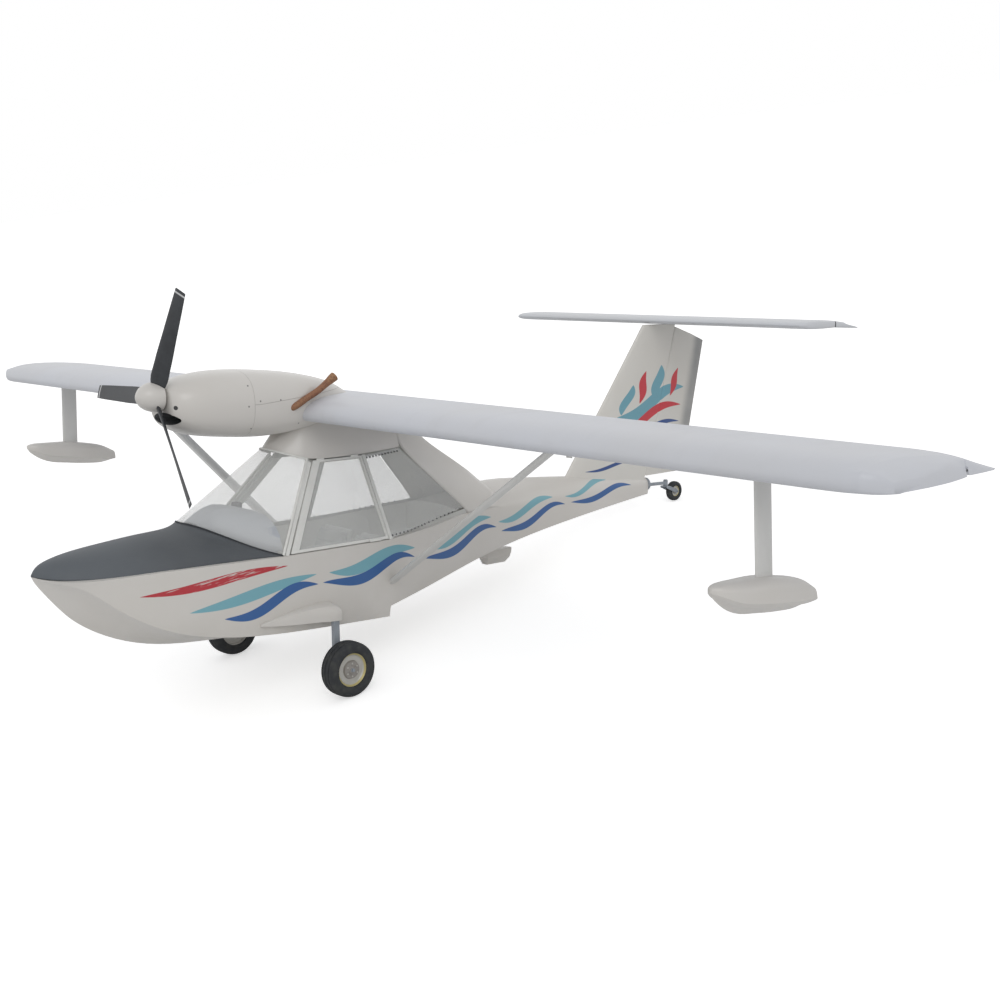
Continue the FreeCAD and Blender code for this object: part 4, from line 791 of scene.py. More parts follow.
# ---------------------------------------------------------------- wing, flaps and ailerons
# Doped fabric over metal ribs and a closed leading edge: a flat bottom, a full upper curve and drooped
# glass-fibre tips. The flaps and ailerons are cut from the same section and turn on round noses.
HALF_SPAN = 5.444
WING_NOSE_Y = 0.395
CHORD = 1.530
BOTTOM_Z = 0.970
WING_DEPTH = 0.192
TIP_REACH = 0.540
TOP_CURVE = [(0.0, 0.26), (0.008, 0.47), (0.035, 0.69), (0.09, 0.87), (0.17, 0.97), (0.28, 1.0), (0.42, 0.96),
             (0.58, 0.84), (0.72, 0.63), (0.86, 0.34), (1.0, 0.03)]
LOW_CURVE = [(1.0, 0.0), (0.72, 0.0), (0.3, 0.0), (0.05, 0.0), (0.012, 0.08)]
TIP_CURVE = [  # distance in from the end, leading edge set back, trailing edge set in
    (0.540, 0, 0), (0.400, 0, 0), (0.280, 0.004, 0), (0.190, 0.018, 0), (0.140, 0.038, 0.004),
    (0.092, 0.070, 0.380), (0.054, 0.110, 0.560), (0.028, 0.155, 0.725), (0.010, 0.215, 0.960),
]
SURFACE_CHORD = 0.425
AILERON_ROOT = 3.064
SHADED_SLIT_END = 5.180
SLIT = 0.007
NOSE_SHARE, HINGE_RISE = 0.47, 1.02
RIB_PITCH = 0.30
TIP_FADE, TIP_EDGE = 6, 10


def flowing(rows, steps=3):
    """More rows of points on a smooth curve that passes through all the given ones."""
    spans = [sum((b - a).length for a, b in zip(*ends)) / len(rows[0]) for ends in zip(rows, rows[1:])]
    rates = [[(b - a) / span for a, b in zip(*ends)] for span, *ends in zip(spans, rows, rows[1:])]
    slopes = [rates[0]]
    for i in range(1, len(spans)):
        share = spans[i - 1] / (spans[i - 1] + spans[i])
        slopes.append([p.lerp(q, share) for p, q in zip(rates[i - 1], rates[i])])
    slopes.append(rates[-1])
    done = []
    for i, span in enumerate(spans):
        for k in range(steps):
            t = k / steps
            rise, swing = t * t * (3 - 2 * t), t * (1 - t) * span
            done.append([a.lerp(b, rise) + s0 * (1 - t) * swing - s1 * t * swing
                         for a, b, s0, s1 in zip(rows[i], rows[i + 1], slopes[i], slopes[i + 1])])
    return done + [rows[-1]]


def drawn(points, steps=3):
    """A smooth line through points of two or three coordinates."""
    return [row[0] for row in flowing([[Vector((*p, 0.0)[:3])] for p in points], steps)]


def tip_to_tip(port_rows):
    """The rows of a whole surface from those of its port half."""
    return [[Vector((-p.x, p.y, p.z)) for p in row] for row in reversed(port_rows)] + port_rows


def height_at(share):
    """The upper curve's height at a share of the chord."""
    for (s0, h0), (s1, h1) in zip(TOP_CURVE, TOP_CURVE[1:]):
        if s0 <= share <= s1:
            return h0 + (h1 - h0) * (share - s0) / (s1 - s0)
    return TOP_CURVE[-1][1]


def wing_section(inset, nose_back, tail_in):
    """The section at a distance in from the tip, from the trailing edge's top round to its underside."""
    fade = math.sqrt(1 - max(0.0, 1 - inset / TIP_REACH) ** TIP_FADE)
    chord = CHORD - nose_back - tail_in
    outline = []
    for share, height in TOP_CURVE[::-1]:
        aft = nose_back + chord * share
        edge = math.sqrt(max(0.0, 1 - share ** TIP_EDGE)) if tail_in else 1.0
        rise = max(height_at(aft / CHORD) * edge, 0.02) if share > 0 else height
        outline.append((aft, rise))
    outline += [(nose_back + chord * share, height) for share, height in LOW_CURVE[::-1]]
    return drawn([(HALF_SPAN - inset, WING_NOSE_Y + aft, BOTTOM_Z + WING_DEPTH * fade * rise)
                  for aft, rise in outline], 2)


def scored(cage, point, towards, clear=False):
    """Cuts the faces along a plane; clear takes away what lies behind it."""
    everything = cage.verts[:] + cage.edges[:] + cage.faces[:]
    return bmesh.ops.bisect_plane(cage, geom=everything, plane_co=point, plane_no=towards, clear_inner=clear)


def sliced(cage, point, towards, cut_tone=0):
    """Keeps the side of a plane that the arrow points to, and closes the cut."""
    cut = scored(cage, point, towards, clear=True)
    rim = [g for g in cut["geom_cut"] if isinstance(g, bmesh.types.BMEdge)]
    for face in bmesh.ops.holes_fill(cage, edges=rim, sides=0)["faces"]:
        face.material_index = cut_tone
    return cage


def round_nose(cage, hinge, radius, nose_tone=0, bands=6):
    """Rounds what lies before a hinge line into a nose of that radius about it."""
    for i in range(bands + 1):
        forward = radius * math.cos(math.pi / 2 * i / (bands + 1))
        scored(cage, hinge - AFT * forward, AFT, clear=i == 0)
    bmesh.ops.holes_fill(cage, edges=[edge for edge in cage.edges if edge.is_boundary], sides=0)
    for vertex in cage.verts:
        offset = vertex.co - hinge
        if offset.y < 0:
            room = math.sqrt(max(radius * radius - offset.y * offset.y, 0.0))
            vertex.co.z = hinge.z + max(-room, min(room, offset.z))
    bmesh.ops.remove_doubles(cage, verts=cage.verts, dist=0.0004)
    for face in cage.faces:
        if face.calc_center_median().y < hinge.y - radius * 0.55:
            face.material_index = nose_tone
    return cage


def doped(name, base, shade, cloud_scale, rib_pitch, depth):
    """Sprayed fabric whose ribs show faintly through it."""
    finish = Finish(name)
    rib = (finish.levelled()[0] * (math.pi / rib_pitch)).sine().size().power(40.0)
    speck = finish.noise(70.0, 2.0)
    finish.tone = finish.mixed(finish.noise(cloud_scale, 4.0).over(0.5, 0.5) * 0.5, tint(base), tint(shade))
    finish.wear(Base_Color=finish.tone, Roughness=0.38 + (speck - 0.5) * 0.08,
                Normal=finish.relief(rib * 0.6 + speck * 0.2, depth))
    return finish


wing_cage = lofted(tip_to_tip(flowing([wing_section(*line) for line in TIP_CURVE], 4)))
nose_radius = height_at(1 - SURFACE_CHORD / CHORD) * WING_DEPTH * NOSE_SHARE
hinge = Vector((0, WING_NOSE_Y + CHORD - SURFACE_CHORD + nose_radius, BOTTOM_Z + nose_radius * HINGE_RISE))

# White fabric paint whose blue-grey tint, cooler than the hull's warm white, is painted cool light from
# above.
wing_paint = doped("wing_enamel", "CED1D9", "CBCBCC", 0.9, RIB_PITCH, 0.0009)
streak = wing_paint.noise(5.0, 4.0, (1.0, 0.12, 1.0))
wing_paint.wear(Base_Color=wing_paint.mixed(streak.over(0.62, 0.2) * 0.06, wing_paint.tone, tint("9A9A98")))
wing_paint_and_gap_shade = [wing_paint.material, seal]
# Index of the black material that paints shade into the hinge gaps.
GAP_SHADE = 1

front = sliced(wing_cage.copy(), Vector((0, hinge.y - nose_radius - SLIT, 0)), -AFT)
for x in (AILERON_ROOT, -AILERON_ROOT, SHADED_SLIT_END, -SHADED_SLIT_END):
    scored(front, (x, 0, 0), PORT)
# The wing's rear face in the aileron slits is black: painted shade in the gap.
for face in front.faces:
    if face.normal.y > 0.9 and AILERON_ROOT < abs(face.calc_center_median().x) < SHADED_SLIT_END:
        face.material_index = GAP_SHADE
shown("wing_skin", front, "airframe", wing_paint_and_gap_shade, "wing", sharp=60)
for kind, start, end in (("flap", SLIT / 2, AILERON_ROOT - SLIT / 2),
                         ("aileron", AILERON_ROOT + SLIT / 2, HALF_SPAN)):
    surface = sliced(wing_cage.copy(), Vector((start, 0, 0)), PORT)
    surface = sliced(surface, Vector((end, 0, 0)), -PORT) if end < HALF_SPAN else surface
    surface = round_nose(surface, hinge, nose_radius)
    twin = mirror_of(surface)
    for side, cage in (("left", surface), ("right", twin)):
        shown(f"{kind}_skin_{side}", cage, f"{kind}_{side[0]}", wing_paint_and_gap_shade,
              f"{kind}_{side}", sharp=60)
wing_cage.free()

# ---------------------------------------------------------------- nacelle
# A deep glass-fibre cowl sits on the wing over the engine. It splits along its middle and at a ring
# behind the spinner, and quarter-turn fasteners hold the halves.
NACELLE_LINES = [  # station y, middle z, half width, half height
    (-0.655, 1.150, 0.160, 0.132), (-0.640, 1.147, 0.196, 0.150), (-0.600, 1.141, 0.240, 0.177),
    (-0.500, 1.136, 0.288, 0.218), (-0.350, 1.137, 0.312, 0.245), (-0.150, 1.134, 0.330, 0.262),
    (0.100, 1.117, 0.334, 0.266), (0.350, 1.113, 0.326, 0.249), (0.560, 1.112, 0.298, 0.217),
    (0.760, 1.108, 0.240, 0.175), (0.900, 1.101, 0.168, 0.121), (1.005, 1.096, 0.092, 0.062),
]
MOUTH_MIDDLE = (0.044, -0.560, 1.050)
MOUTH_SIZE = (0.160, 0.046, 0.260)
VENT_AT = (0.186, 1.140)
VENT_RADIUS = 0.016
RING_SEAM_Y = -0.050
SIDE_SEAM_Z, SIDE_SEAM_RISE = 1.135, 0.085
SEAM = 0.0016
FASTENERS = [
    (0.278, -0.087, 1.271), (0.331, -0.103, 1.125), (0.259, -0.057, 0.964), (0.328, -0.001, 1.160),
    (0.327, 0.182, 1.158), (0.264, 0.373, 0.971), (-0.229, 0.674, 1.206), (-0.323, 0.205, 1.167),
    (-0.329, 0.004, 1.159), (-0.278, -0.087, 1.271), (-0.331, -0.103, 1.125), (-0.259, -0.057, 0.964),
]
FASTENER, FASTENER_RISE = 0.0075, 0.25
COWL_TONES = "D3D0CC", "CBC7C1", 0.30


def oval(y, middle_z, half_wide, half_high, points=16, square=0.12):
    """A ring of points across the aircraft, a little squarer than an ellipse."""
    outline = []
    for turn in (2 * math.pi * (i + 0.5) / points for i in range(points)):
        swell = 1 + square * math.sin(2 * turn) ** 2
        outline.append(Vector((half_wide * swell * math.sin(turn), y,
                               middle_z - half_high * swell * math.cos(turn))))
    return outline


def carved(cage, cutter):
    """The cage with the cutter's shape taken out; the cut's faces take the second material."""
    cutter_thing = loose(cutter, "cutter")
    thing = loose(cage)
    for count in (1, 2):
        thing.data.materials.append(bpy.data.materials.new(f"spare_{count}"))
        cutter_thing.data.materials.append(thing.data.materials[-1])
    for face in cutter_thing.data.polygons:
        face.material_index = 1
    cut = thing.modifiers.new("cut", "BOOLEAN")
    cut.object = cutter_thing
    cut.solver = "EXACT"
    done = evaluated(thing)
    bpy.data.objects.remove(cutter_thing)
    return done


nacelle_rings = [oval(*line) for line in NACELLE_LINES]
nacelle_cage = smoothed(lofted(nacelle_rings, hard_rings=(0, len(nacelle_rings) - 1)))
fasteners = studs(nacelle_cage, [(spot, spot, 1) for spot in FASTENERS], FASTENER, FASTENER_RISE)
mouth = bmesh.new()
bmesh.ops.create_cone(mouth, cap_ends=True, segments=48, radius1=1.0, radius2=1.0, depth=1.0)
bmesh.ops.scale(mouth, vec=MOUTH_SIZE, verts=mouth.verts)
bmesh.ops.rotate(mouth, cent=(0, 0, 0), matrix=Matrix.Rotation(math.pi / 2, 3, "X"), verts=mouth.verts)
bmesh.ops.translate(mouth, vec=MOUTH_MIDDLE, verts=mouth.verts)
nacelle_cage = carved(nacelle_cage, mouth)
cowl = enamel("cream_cowl", *COWL_TONES)
across, aft, up = cowl.levelled()
ring_seam = SEAM - (aft - RING_SEAM_Y).size()
side_line = up - SIDE_SEAM_Z - aft.most(0.0) * SIDE_SEAM_RISE
side_seam = (SEAM - side_line.size()).least(aft - RING_SEAM_Y)
# The vent is a near-black disc painted on the cowl's front: painted shade of a hole.
vent = VENT_RADIUS - (across - VENT_AT[0]).far(up - VENT_AT[1])
seams = ring_seam.most(side_seam).over(0.0, 0.001)
vent_hole_shade = vent.over(0.0, 0.002) * aft.under(-0.5, 0.01)
cowl.wear(Base_Color=cowl.mixed(vent_hole_shade, cowl.mixed(seams * 0.55, cowl.tone, tint("8E8A84")), tint("2A2B2D")),
          Normal=cowl.relief(1 - seams.most(vent_hole_shade), 0.0015))
duct = mottled("intake_duct", "77797B", "696B6D", 9.0, 0.6)
shown("nacelle_cowl", nacelle_cage, "airframe", [cowl.material, duct], "nacelle",
      sharp=40)
shown("cowl_fasteners", fasteners, "airframe", rivet_paint)

# ---------------------------------------------------------------- engine
# Behind the cowl's mouth stand the dark castings of the cylinders' fronts.
castings = mottled("dark_castings", "2E3034", "45474A", 14.0, 0.5, 0.2, 40.0, metal=0.6)
as_packed("engine_castings", "engine", "airframe", castings, 0.004)

# ---------------------------------------------------------------- exhaust
# A rusted steel stack comes out of the cowl's port side, turns up and back, and ends in a flare.
STACK_LINE = [(0.277, 0.270, 1.076), (0.314, 0.300, 1.093), (0.325, 0.413, 1.153), (0.337, 0.526, 1.214),
              (0.341, 0.610, 1.271), (0.344, 0.656, 1.303), (0.345, 0.676, 1.316)]
STACK_RADII = [0.027, 0.027, 0.026, 0.026, 0.029, 0.036, 0.037]
STACK_WALL = 0.003
AROUND = 20
HOLLOW_END = 8


def tube(points, radii, around=AROUND):
    """Rings along a path of points, each square to it, with a radius at each."""
    points = [Vector(p) for p in points]
    spread = [2 * math.pi * k / around for k in range(around)]
    rings = []
    for i, (point, r) in enumerate(zip(points, radii)):
        along = points[min(i + 1, len(points) - 1)] - points[max(i - 1, 0)]
        turn = along.to_track_quat("Z", "Y")
        rings.append([point + turn @ Vector((r * math.cos(a), r * math.sin(a), 0)) for a in spread])
    return rings


outside = flowing(tube(STACK_LINE, STACK_RADII), 4)
inside = flowing(tube(STACK_LINE, [radius - STACK_WALL for radius in STACK_RADII]), 4)
stack_cage = lofted(outside + inside[:HOLLOW_END:-1])
rust = Finish("heat_stained_steel")
bloom = rust.noise(7.0, 5.0)
fleck = rust.noise(60.0, 3.0)
stain = rust.mixed(bloom.over(0.5, 0.3), tint("8A6048"), tint("9C7757"))
rust.wear(Base_Color=rust.mixed(fleck.over(0.56, 0.1) * 0.5, stain, tint("63463A")), Metallic=0.25,
          Roughness=0.5 + bloom * 0.2, Normal=rust.relief(fleck, 0.0006))
shown("exhaust_stack", stack_cage, "airframe", rust.material, "exhaust", sharp=50)

# ---------------------------------------------------------------- propeller
# Three carbon blades of a ground-adjustable propeller, nearly the same width to their square tips, are
# clamped in an alloy hub; a thin pale band is painted near each tip.
PROP_HUB = Vector((0, -0.706, 1.214))
PROP_BACK_Y = -0.675
BLADE_LINES = [  # distance out, chord, depth, pitch in degrees
    (0.045, 0.070, 0.046, 35.9), (0.116, 0.128, 0.034, 34.1), (0.268, 0.140, 0.024, 30.4),
    (0.537, 0.126, 0.016, 23.8), (0.806, 0.110, 0.010, 17.2), (0.888, 0.103, 0.008, 15.2),
    (0.895, 0.098, 0.005, 15.0),
]
BLADE_OUTLINE = [(-0.5, 0.0), (-0.46, 0.17), (-0.2, 0.5), (0.1, 0.47), (0.3, 0.28), (0.5, 0.0), (0.3, -0.22),
                 (0.1, -0.36), (-0.2, -0.42), (-0.46, -0.16)]
BLADES, FIRST_BLADE = 3, 29.0
HUB_RADIUS, HUB_DEPTH = 0.060, 0.062
SHAFT_RADIUS, SHAFT_LENGTH = 0.028, 0.33
TIP_BAND = (0.860, 0.873)
outline = drawn(BLADE_OUTLINE + BLADE_OUTLINE[:1], 2)[:-1]
blade_rows = []
for out, chord, depth, pitch in BLADE_LINES:
    twist = Matrix.Rotation(math.radians(pitch), 3, "Z")
    blade_rows.append([twist @ Vector((p.x * chord, p.y * depth, 0)) + UP * out for p in outline])
blades = []
for i in range(BLADES):
    blade = lofted(flowing(blade_rows[:-1], 4) + blade_rows[-1:])
    turn = Matrix.Rotation(math.radians(FIRST_BLADE + 360 / BLADES * i), 3, "Y")
    bmesh.ops.rotate(blade, cent=(0, 0, 0), matrix=turn, verts=blade.verts)
    bmesh.ops.translate(blade, vec=PROP_HUB, verts=blade.verts)
    blades.append(blade)


def spun(profile, centre, axis, steps=48):
    """A closed solid of revolution; profile is (along the axis, radius)."""
    cage = bmesh.new()
    axis = Vector(axis).normalized()
    out = axis.orthogonal().normalized()
    points = [cage.verts.new(Vector(centre) + axis * a + out * r) for a, r in profile]
    open_profile = profile[0][1] < 1e-6
    ends = zip(points, points[1:] if open_profile else points[1:] + points[:1])
    edges = [cage.edges.new(two) for two in ends]
    bmesh.ops.spin(cage, geom=points + edges, cent=centre, axis=axis, angle=2 * math.pi, steps=steps,
                   use_merge=True)
    bmesh.ops.remove_doubles(cage, verts=cage.verts, dist=0.00002)
    bmesh.ops.recalc_face_normals(cage, faces=cage.faces)
    return cage


hub_line = [(0.0, 0.0), (0.0, HUB_RADIUS - 0.002), (0.003, HUB_RADIUS), (HUB_DEPTH - 0.004, HUB_RADIUS),
            (HUB_DEPTH, HUB_RADIUS - 0.003), (HUB_DEPTH, 0.0)]
hub = spun(hub_line, (0, PROP_BACK_Y - HUB_DEPTH, PROP_HUB.z), AFT)
shaft_line = [(0.0, 0.0), (0.0, SHAFT_RADIUS), (SHAFT_LENGTH, SHAFT_RADIUS), (SHAFT_LENGTH, 0.0)]
shaft = spun(shaft_line, (0, PROP_BACK_Y - 0.001, PROP_HUB.z), AFT, 32)
carbon = Finish("charcoal_blade")
across, aft, up = carbon.levelled()
band = across.far(up - PROP_HUB.z).within(*TIP_BAND, 0.003)
cloud = carbon.noise(11.0, 3.0)
shade = carbon.mixed(cloud.over(0.5, 0.4), tint("2B2D31"), tint("36393D"))
carbon.wear(Base_Color=carbon.mixed(band, shade, tint("C9CACB")), Roughness=0.36 + cloud * 0.14)
shown("propeller_blades", joined(*blades, hub, shaft), "prop", carbon.material,
      "propeller", sharp=40)

# ---------------------------------------------------------------- spinner
# A spun bowl in the cowl's colour covers the hub; the blades pass through its side.
SPINNER_LINE = [(0.0, 0.0), (0.0, 0.113), (-0.030, 0.1135), (-0.070, 0.109), (-0.110, 0.096), (-0.142, 0.076),
                (-0.163, 0.053), (-0.177, 0.031), (-0.184, 0.014), (-0.186, 0.0)]
bowl = spun(SPINNER_LINE, (0, PROP_BACK_Y, PROP_HUB.z), AFT, 64)
bowl_paint = enamel("spinner_enamel", *COWL_TONES).material
shown("spinner_bowl", bowl, "prop", bowl_paint, "spinner", sharp=50)

# ---------------------------------------------------------------- fin
# The swept fin grows out of the aft hull: glass fibre over a light frame, with a round leading edge. A
# painted design of ribbons and leaves runs over it and the rudder.
HINGE_FOOT, HINGE_HEAD = Vector((0, 4.693, 0.020)), Vector((0, 5.140, 1.620))
FIN_NOSE_FOOT, FIN_NOSE_HEAD = Vector((0, 3.465, 0.020)), Vector((0, 4.690, 1.620))
FIN_HALF = 0.046
FIN_OUTLINE = [(0.0, 0.0), (0.012, 0.26), (0.05, 0.54), (0.16, 0.86), (0.33, 1.0), (0.6, 0.93), (0.85, 0.76),
               (1.0, 0.65)]
FIN_ROOT_Z, FIN_TOP_Z = 0.020, 1.605
PIN_GAP = 0.003
MURAL_BLUE = tint("2F4F8A")
MURAL_TEAL = tint("6CA2B2")
MURAL_RED = tint("C63440")
RIBBONS = [  # colour, start y and z, end y and z, half its width, its sway, where the sway turns
    (MURAL_TEAL, 4.200, 0.690, 5.300, 0.960, 0.074, 0.050, 1.1),
    (MURAL_RED, 4.160, 0.570, 5.260, 0.780, 0.050, 0.060, 0.9),
    (MURAL_BLUE, 4.100, 0.470, 5.240, 0.610, 0.036, 0.040, 1.2),
    (MURAL_BLUE, 3.990, 0.350, 5.130, 0.440, 0.028, 0.034, 1.0),
    (MURAL_BLUE, 3.830, 0.215, 4.560, 0.265, 0.018, 0.014, 1.0),
]
LEAVES = [  # colour, foot z and y, head z and y, half its width, its sway, where the sway turns
    (MURAL_TEAL, 0.730, 4.330, 1.020, 4.500, 0.070, 0.020, 1.0),
    (MURAL_RED, 0.830, 4.600, 1.150, 4.690, 0.058, -0.020, 1.0),
    (MURAL_TEAL, 0.860, 4.830, 1.200, 4.930, 0.078, 0.020, 1.0),
    (MURAL_RED, 0.880, 5.080, 1.160, 5.200, 0.050, -0.016, 1.0),
]


def at_level(foot, head, z):
    """The point at a height on the line from foot to head."""
    return foot + (head - foot) * ((z - foot.z) / (head.z - foot.z))


def muraled(finish):
    """Lays the ribbons and leaves over a finish's own tone."""
    across, aft, up = finish.levelled()
    painted = finish.tone
    for colour, *shape in RIBBONS:
        painted = finish.mixed(stripe(aft, up, *shape), painted, colour)
    for colour, *shape in LEAVES:
        painted = finish.mixed(stripe(up, aft, *shape), painted, colour)
    return painted, aft, up


sections = []
half_outline = drawn(FIN_OUTLINE)
for z in (FIN_ROOT_Z, FIN_TOP_Z):
    nose = at_level(FIN_NOSE_FOOT, FIN_NOSE_HEAD, z)
    tail = at_level(HINGE_FOOT, HINGE_HEAD, z) - AFT * PIN_GAP
    half = [Vector((FIN_HALF * p.y, nose.y + (tail.y - nose.y) * p.x, z)) for p in half_outline]
    sections.append(half + starboard(half[1:]))
fin_paint = enamel("fin_enamel", "D9D7D2", "D1CDC6", 0.38)
fin_paint.wear(Base_Color=muraled(fin_paint)[0])
shown("fin_skin", lofted(sections), "airframe", fin_paint.material, "fin", sharp=40)

# ---------------------------------------------------------------- rudder
# Fabric over a light frame, hung behind the fin on a raked pin; its top slopes away under the elevator
# so that both can move, and a painted shade, mottled by noise, darkens it towards its trailing edge.
RUDDER_TAIL_FOOT, RUDDER_TAIL_HEAD = Vector((0, 5.318, 0.095)), Vector((0, 5.650, 1.620))
RUDDER_NOSE = 0.030
RUDDER_LOW_Z, RUDDER_TOP_Z = 0.092, 1.580
RUDDER_EDGE = 0.003
EDGE_SHADE_WIDTH = 0.14
RUDDER_TOP = [(5.130, 1.580), (5.400, 1.500), (5.617, 1.425), (5.900, 1.327)]
sections = []
for z in (RUDDER_LOW_Z, RUDDER_TOP_Z):
    pin = at_level(HINGE_FOOT, HINGE_HEAD, z) + AFT * RUDDER_NOSE
    chord = at_level(RUDDER_TAIL_FOOT, RUDDER_TAIL_HEAD, z).y - pin.y
    half = []
    for i in range(7):
        turn = math.pi / 2 * i / 6
        half.append(Vector((RUDDER_NOSE * math.sin(turn), pin.y - RUDDER_NOSE * math.cos(turn), z)))
    for share in (0.3, 0.65, 1.0):
        half.append(Vector((RUDDER_NOSE * (1 - share) + RUDDER_EDGE * share, pin.y + chord * share, z)))
    sections.append(half + starboard(half[1:]))
rudder_cage = lofted(sections)
for (y0, z0), (y1, z1) in zip(RUDDER_TOP, RUDDER_TOP[1:]):
    sliced(rudder_cage, Vector((0, y0, z0)), Vector((0, z1 - z0, y0 - y1)))
rudder_paint = enamel("rudder_enamel", "D6D4CF", "CECAC3", 0.38)
painted, aft, up = muraled(rudder_paint)
rake = (RUDDER_TAIL_HEAD.y - RUDDER_TAIL_FOOT.y) / (RUDDER_TAIL_HEAD.z - RUDDER_TAIL_FOOT.z)
edge_line = up * rake + (RUDDER_TAIL_FOOT.y - RUDDER_TAIL_FOOT.z * rake)
# A grey painted shade along the trailing edge, mottled by noise.
near_edge = (aft - edge_line).over(-EDGE_SHADE_WIDTH, EDGE_SHADE_WIDTH)
trailing_edge_shade = (rudder_paint.noise(4.0, 5.0) * 0.5 + 0.45) * near_edge
rudder_paint.wear(Base_Color=rudder_paint.mixed(trailing_edge_shade, painted, tint("7F8184")))
shown("rudder_skin", rudder_cage, "rudder_body", rudder_paint.material, "rudder", sharp=40)

# ---------------------------------------------------------------- stabilizer and elevator
# The tailplane crosses the top of the fin; the elevator is one piece that turns on its whole width. Both
# are doped fabric over ribs.
TAIL_LINES = [  # distance out, leading edge set back, trailing edge set in, depth share
    (1.625, 0.0, 0.0, 1.0), (1.790, 0.003, 0.0, 1.0), (1.845, 0.012, 0.006, 0.96),
    (1.872, 0.035, 0.034, 0.88), (1.885, 0.064, 0.076, 0.74), (1.890, 0.094, 0.124, 0.54),
]
TAIL_OUTLINE = [(1.0, -0.98), (0.8, -0.09), (0.58, 0.80), (0.5, 0.88), (0.28, 1.0), (0.12, 0.88),
                (0.04, 0.60), (0.012, 0.33), (0.0, 0.0), (0.012, -0.32), (0.04, -0.58), (0.12, -0.82),
                (0.28, -0.95), (0.5, -0.86), (0.58, -0.80), (0.8, -0.95), (1.0, -1.12)]
TAIL_NOSE_Y = 4.700
TAIL_CHORD = 0.945
TAIL_Z = 1.650
TAIL_DEPTH = 0.085
ELEVATOR_NOSE = 0.031
TAIL_RIB_PITCH = 0.26
elevator_pin = Vector((0, 5.251, TAIL_Z))


def tail_section(out, front, rear, depth):
    chord = TAIL_CHORD - front - rear
    return [Vector((out, TAIL_NOSE_Y + front + chord * p.x, TAIL_Z + p.y * depth * TAIL_DEPTH / 2))
            for p in drawn(TAIL_OUTLINE, 2)]


tail_cage = lofted(tip_to_tip(flowing([tail_section(*line) for line in TAIL_LINES], 4)))
# White fabric paint whose blue-grey tint, cooler than the hull's warm white, is painted cool light from
# above.
tail_paint_and_gap_shade = [doped("tailplane_enamel", "CED1D7", "C9CACB", 1.2, TAIL_RIB_PITCH, 0.0007).material, seal]
# The tailplane's cut rear face and the elevator's nose are black: painted shade in the gap between them.
front = sliced(tail_cage.copy(), elevator_pin - AFT * (ELEVATOR_NOSE + PIN_GAP), -AFT, GAP_SHADE)
shown("tailplane_skin", front, "airframe", tail_paint_and_gap_shade, "stabilizer", sharp=35)
surface = round_nose(tail_cage, elevator_pin, ELEVATOR_NOSE, GAP_SHADE)
shown("elevator_skin", surface, "elevator_body", tail_paint_and_gap_shade, "elevator", sharp=35)

# ---------------------------------------------------------------- struts
# Each wing is held by one streamlined alloy strut from the hull's side to a plate under the wing, which
# also carries a tie-down lug.
STRUT_FOOT, STRUT_HEAD = Vector((0.598, 1.046, -0.348)), Vector((2.820, 0.690, 0.970))
STRUT_CHORD, STRUT_DEPTH = 0.108, 0.042
STRUT_SUNK = 0.008
TEARDROP = [(-0.5, 0.0), (-0.47, 0.22), (-0.36, 0.42), (-0.15, 0.5), (0.12, 0.42), (0.36, 0.18), (0.5, 0.03)]
PLATE_SIZE, PLATE_AT = (0.230, 0.076, 0.008), STRUT_HEAD + Vector((0.035, 0, -0.004))
LUG_SIZE, LUG_AT = (0.050, 0.010, 0.052), STRUT_HEAD + Vector((0.125, 0, -0.026))


def streamlined(start, end, chord, depth):
    """A bar of teardrop section between two points, with its chord fore and aft."""
    along = (end - start).normalized()
    aft_way = (AFT - along * AFT.dot(along)).normalized()
    side_way = along.cross(aft_way)
    half = drawn(TEARDROP)
    outline = half + [Vector((p.x, -p.y, 0)) for p in reversed(half[1:])]
    return lofted([[spot + aft_way * (p.x * chord) + side_way * (p.y * depth) for p in outline]
                   for spot in (start, end)])


strut_root = STRUT_FOOT - (STRUT_HEAD - STRUT_FOOT) * STRUT_SUNK
strut_cage = streamlined(strut_root, STRUT_HEAD, STRUT_CHORD, STRUT_DEPTH)
plate = block(PLATE_SIZE, PLATE_AT)
lug_eye = spun([(-0.02, 0.0), (-0.02, 0.010), (0.02, 0.010), (0.02, 0.0)], LUG_AT - UP * 0.005, AFT, 24)
lug = carved(block(LUG_SIZE, LUG_AT), lug_eye)
strut_paint = enamel("strut_enamel", "DCDCDA", "C4C3BF").material
shown("wing_struts", pair(joined(strut_cage, plate, lug)), "airframe", strut_paint, "struts",
      bevel=0.0015)

# ---------------------------------------------------------------- wing floats
# Near each tip a small moulded float hangs on a glass-fibre post: a domed top whose rim stands out over
# a tucked, V-shaped bottom.
FLOAT_X = 4.500
FLOAT_LINES = [  # station y, keel z, then half width and z of the chine and of the side, deck z
    (0.268, 0.335, (0.006, 0.344), (0.009, 0.352), 0.358),
    (0.290, 0.296, (0.036, 0.326), (0.040, 0.350), 0.367),
    (0.330, 0.262, (0.058, 0.304), (0.064, 0.345), 0.375),
    (0.400, 0.216, (0.079, 0.270), (0.086, 0.332), 0.378),
    (0.480, 0.182, (0.092, 0.246), (0.098, 0.318), 0.376),
    (0.700, 0.145, (0.104, 0.208), (0.110, 0.300), 0.370),
    (0.900, 0.124, (0.102, 0.184), (0.106, 0.275), 0.342),
    (1.080, 0.118, (0.092, 0.168), (0.092, 0.245), 0.302),
    (1.212, 0.142, (0.066, 0.164), (0.062, 0.200), 0.236),
]
RIM_OUT, RIM_DROP = 1.10, 0.012
TUCK_IN, TUCK_DROP = 0.76, 0.001
BELLY_FULLNESS = 0.62
DOME = [(0.86, 0.55), (0.50, 0.93)]  # share of the width, share of the rise
POST_CHORD, POST_DEPTH = 0.162, 0.034
POST_FOOT, POST_HEAD = Vector((4.512, 0.745, 0.345)), Vector((4.478, 0.745, 0.985))
sections = []
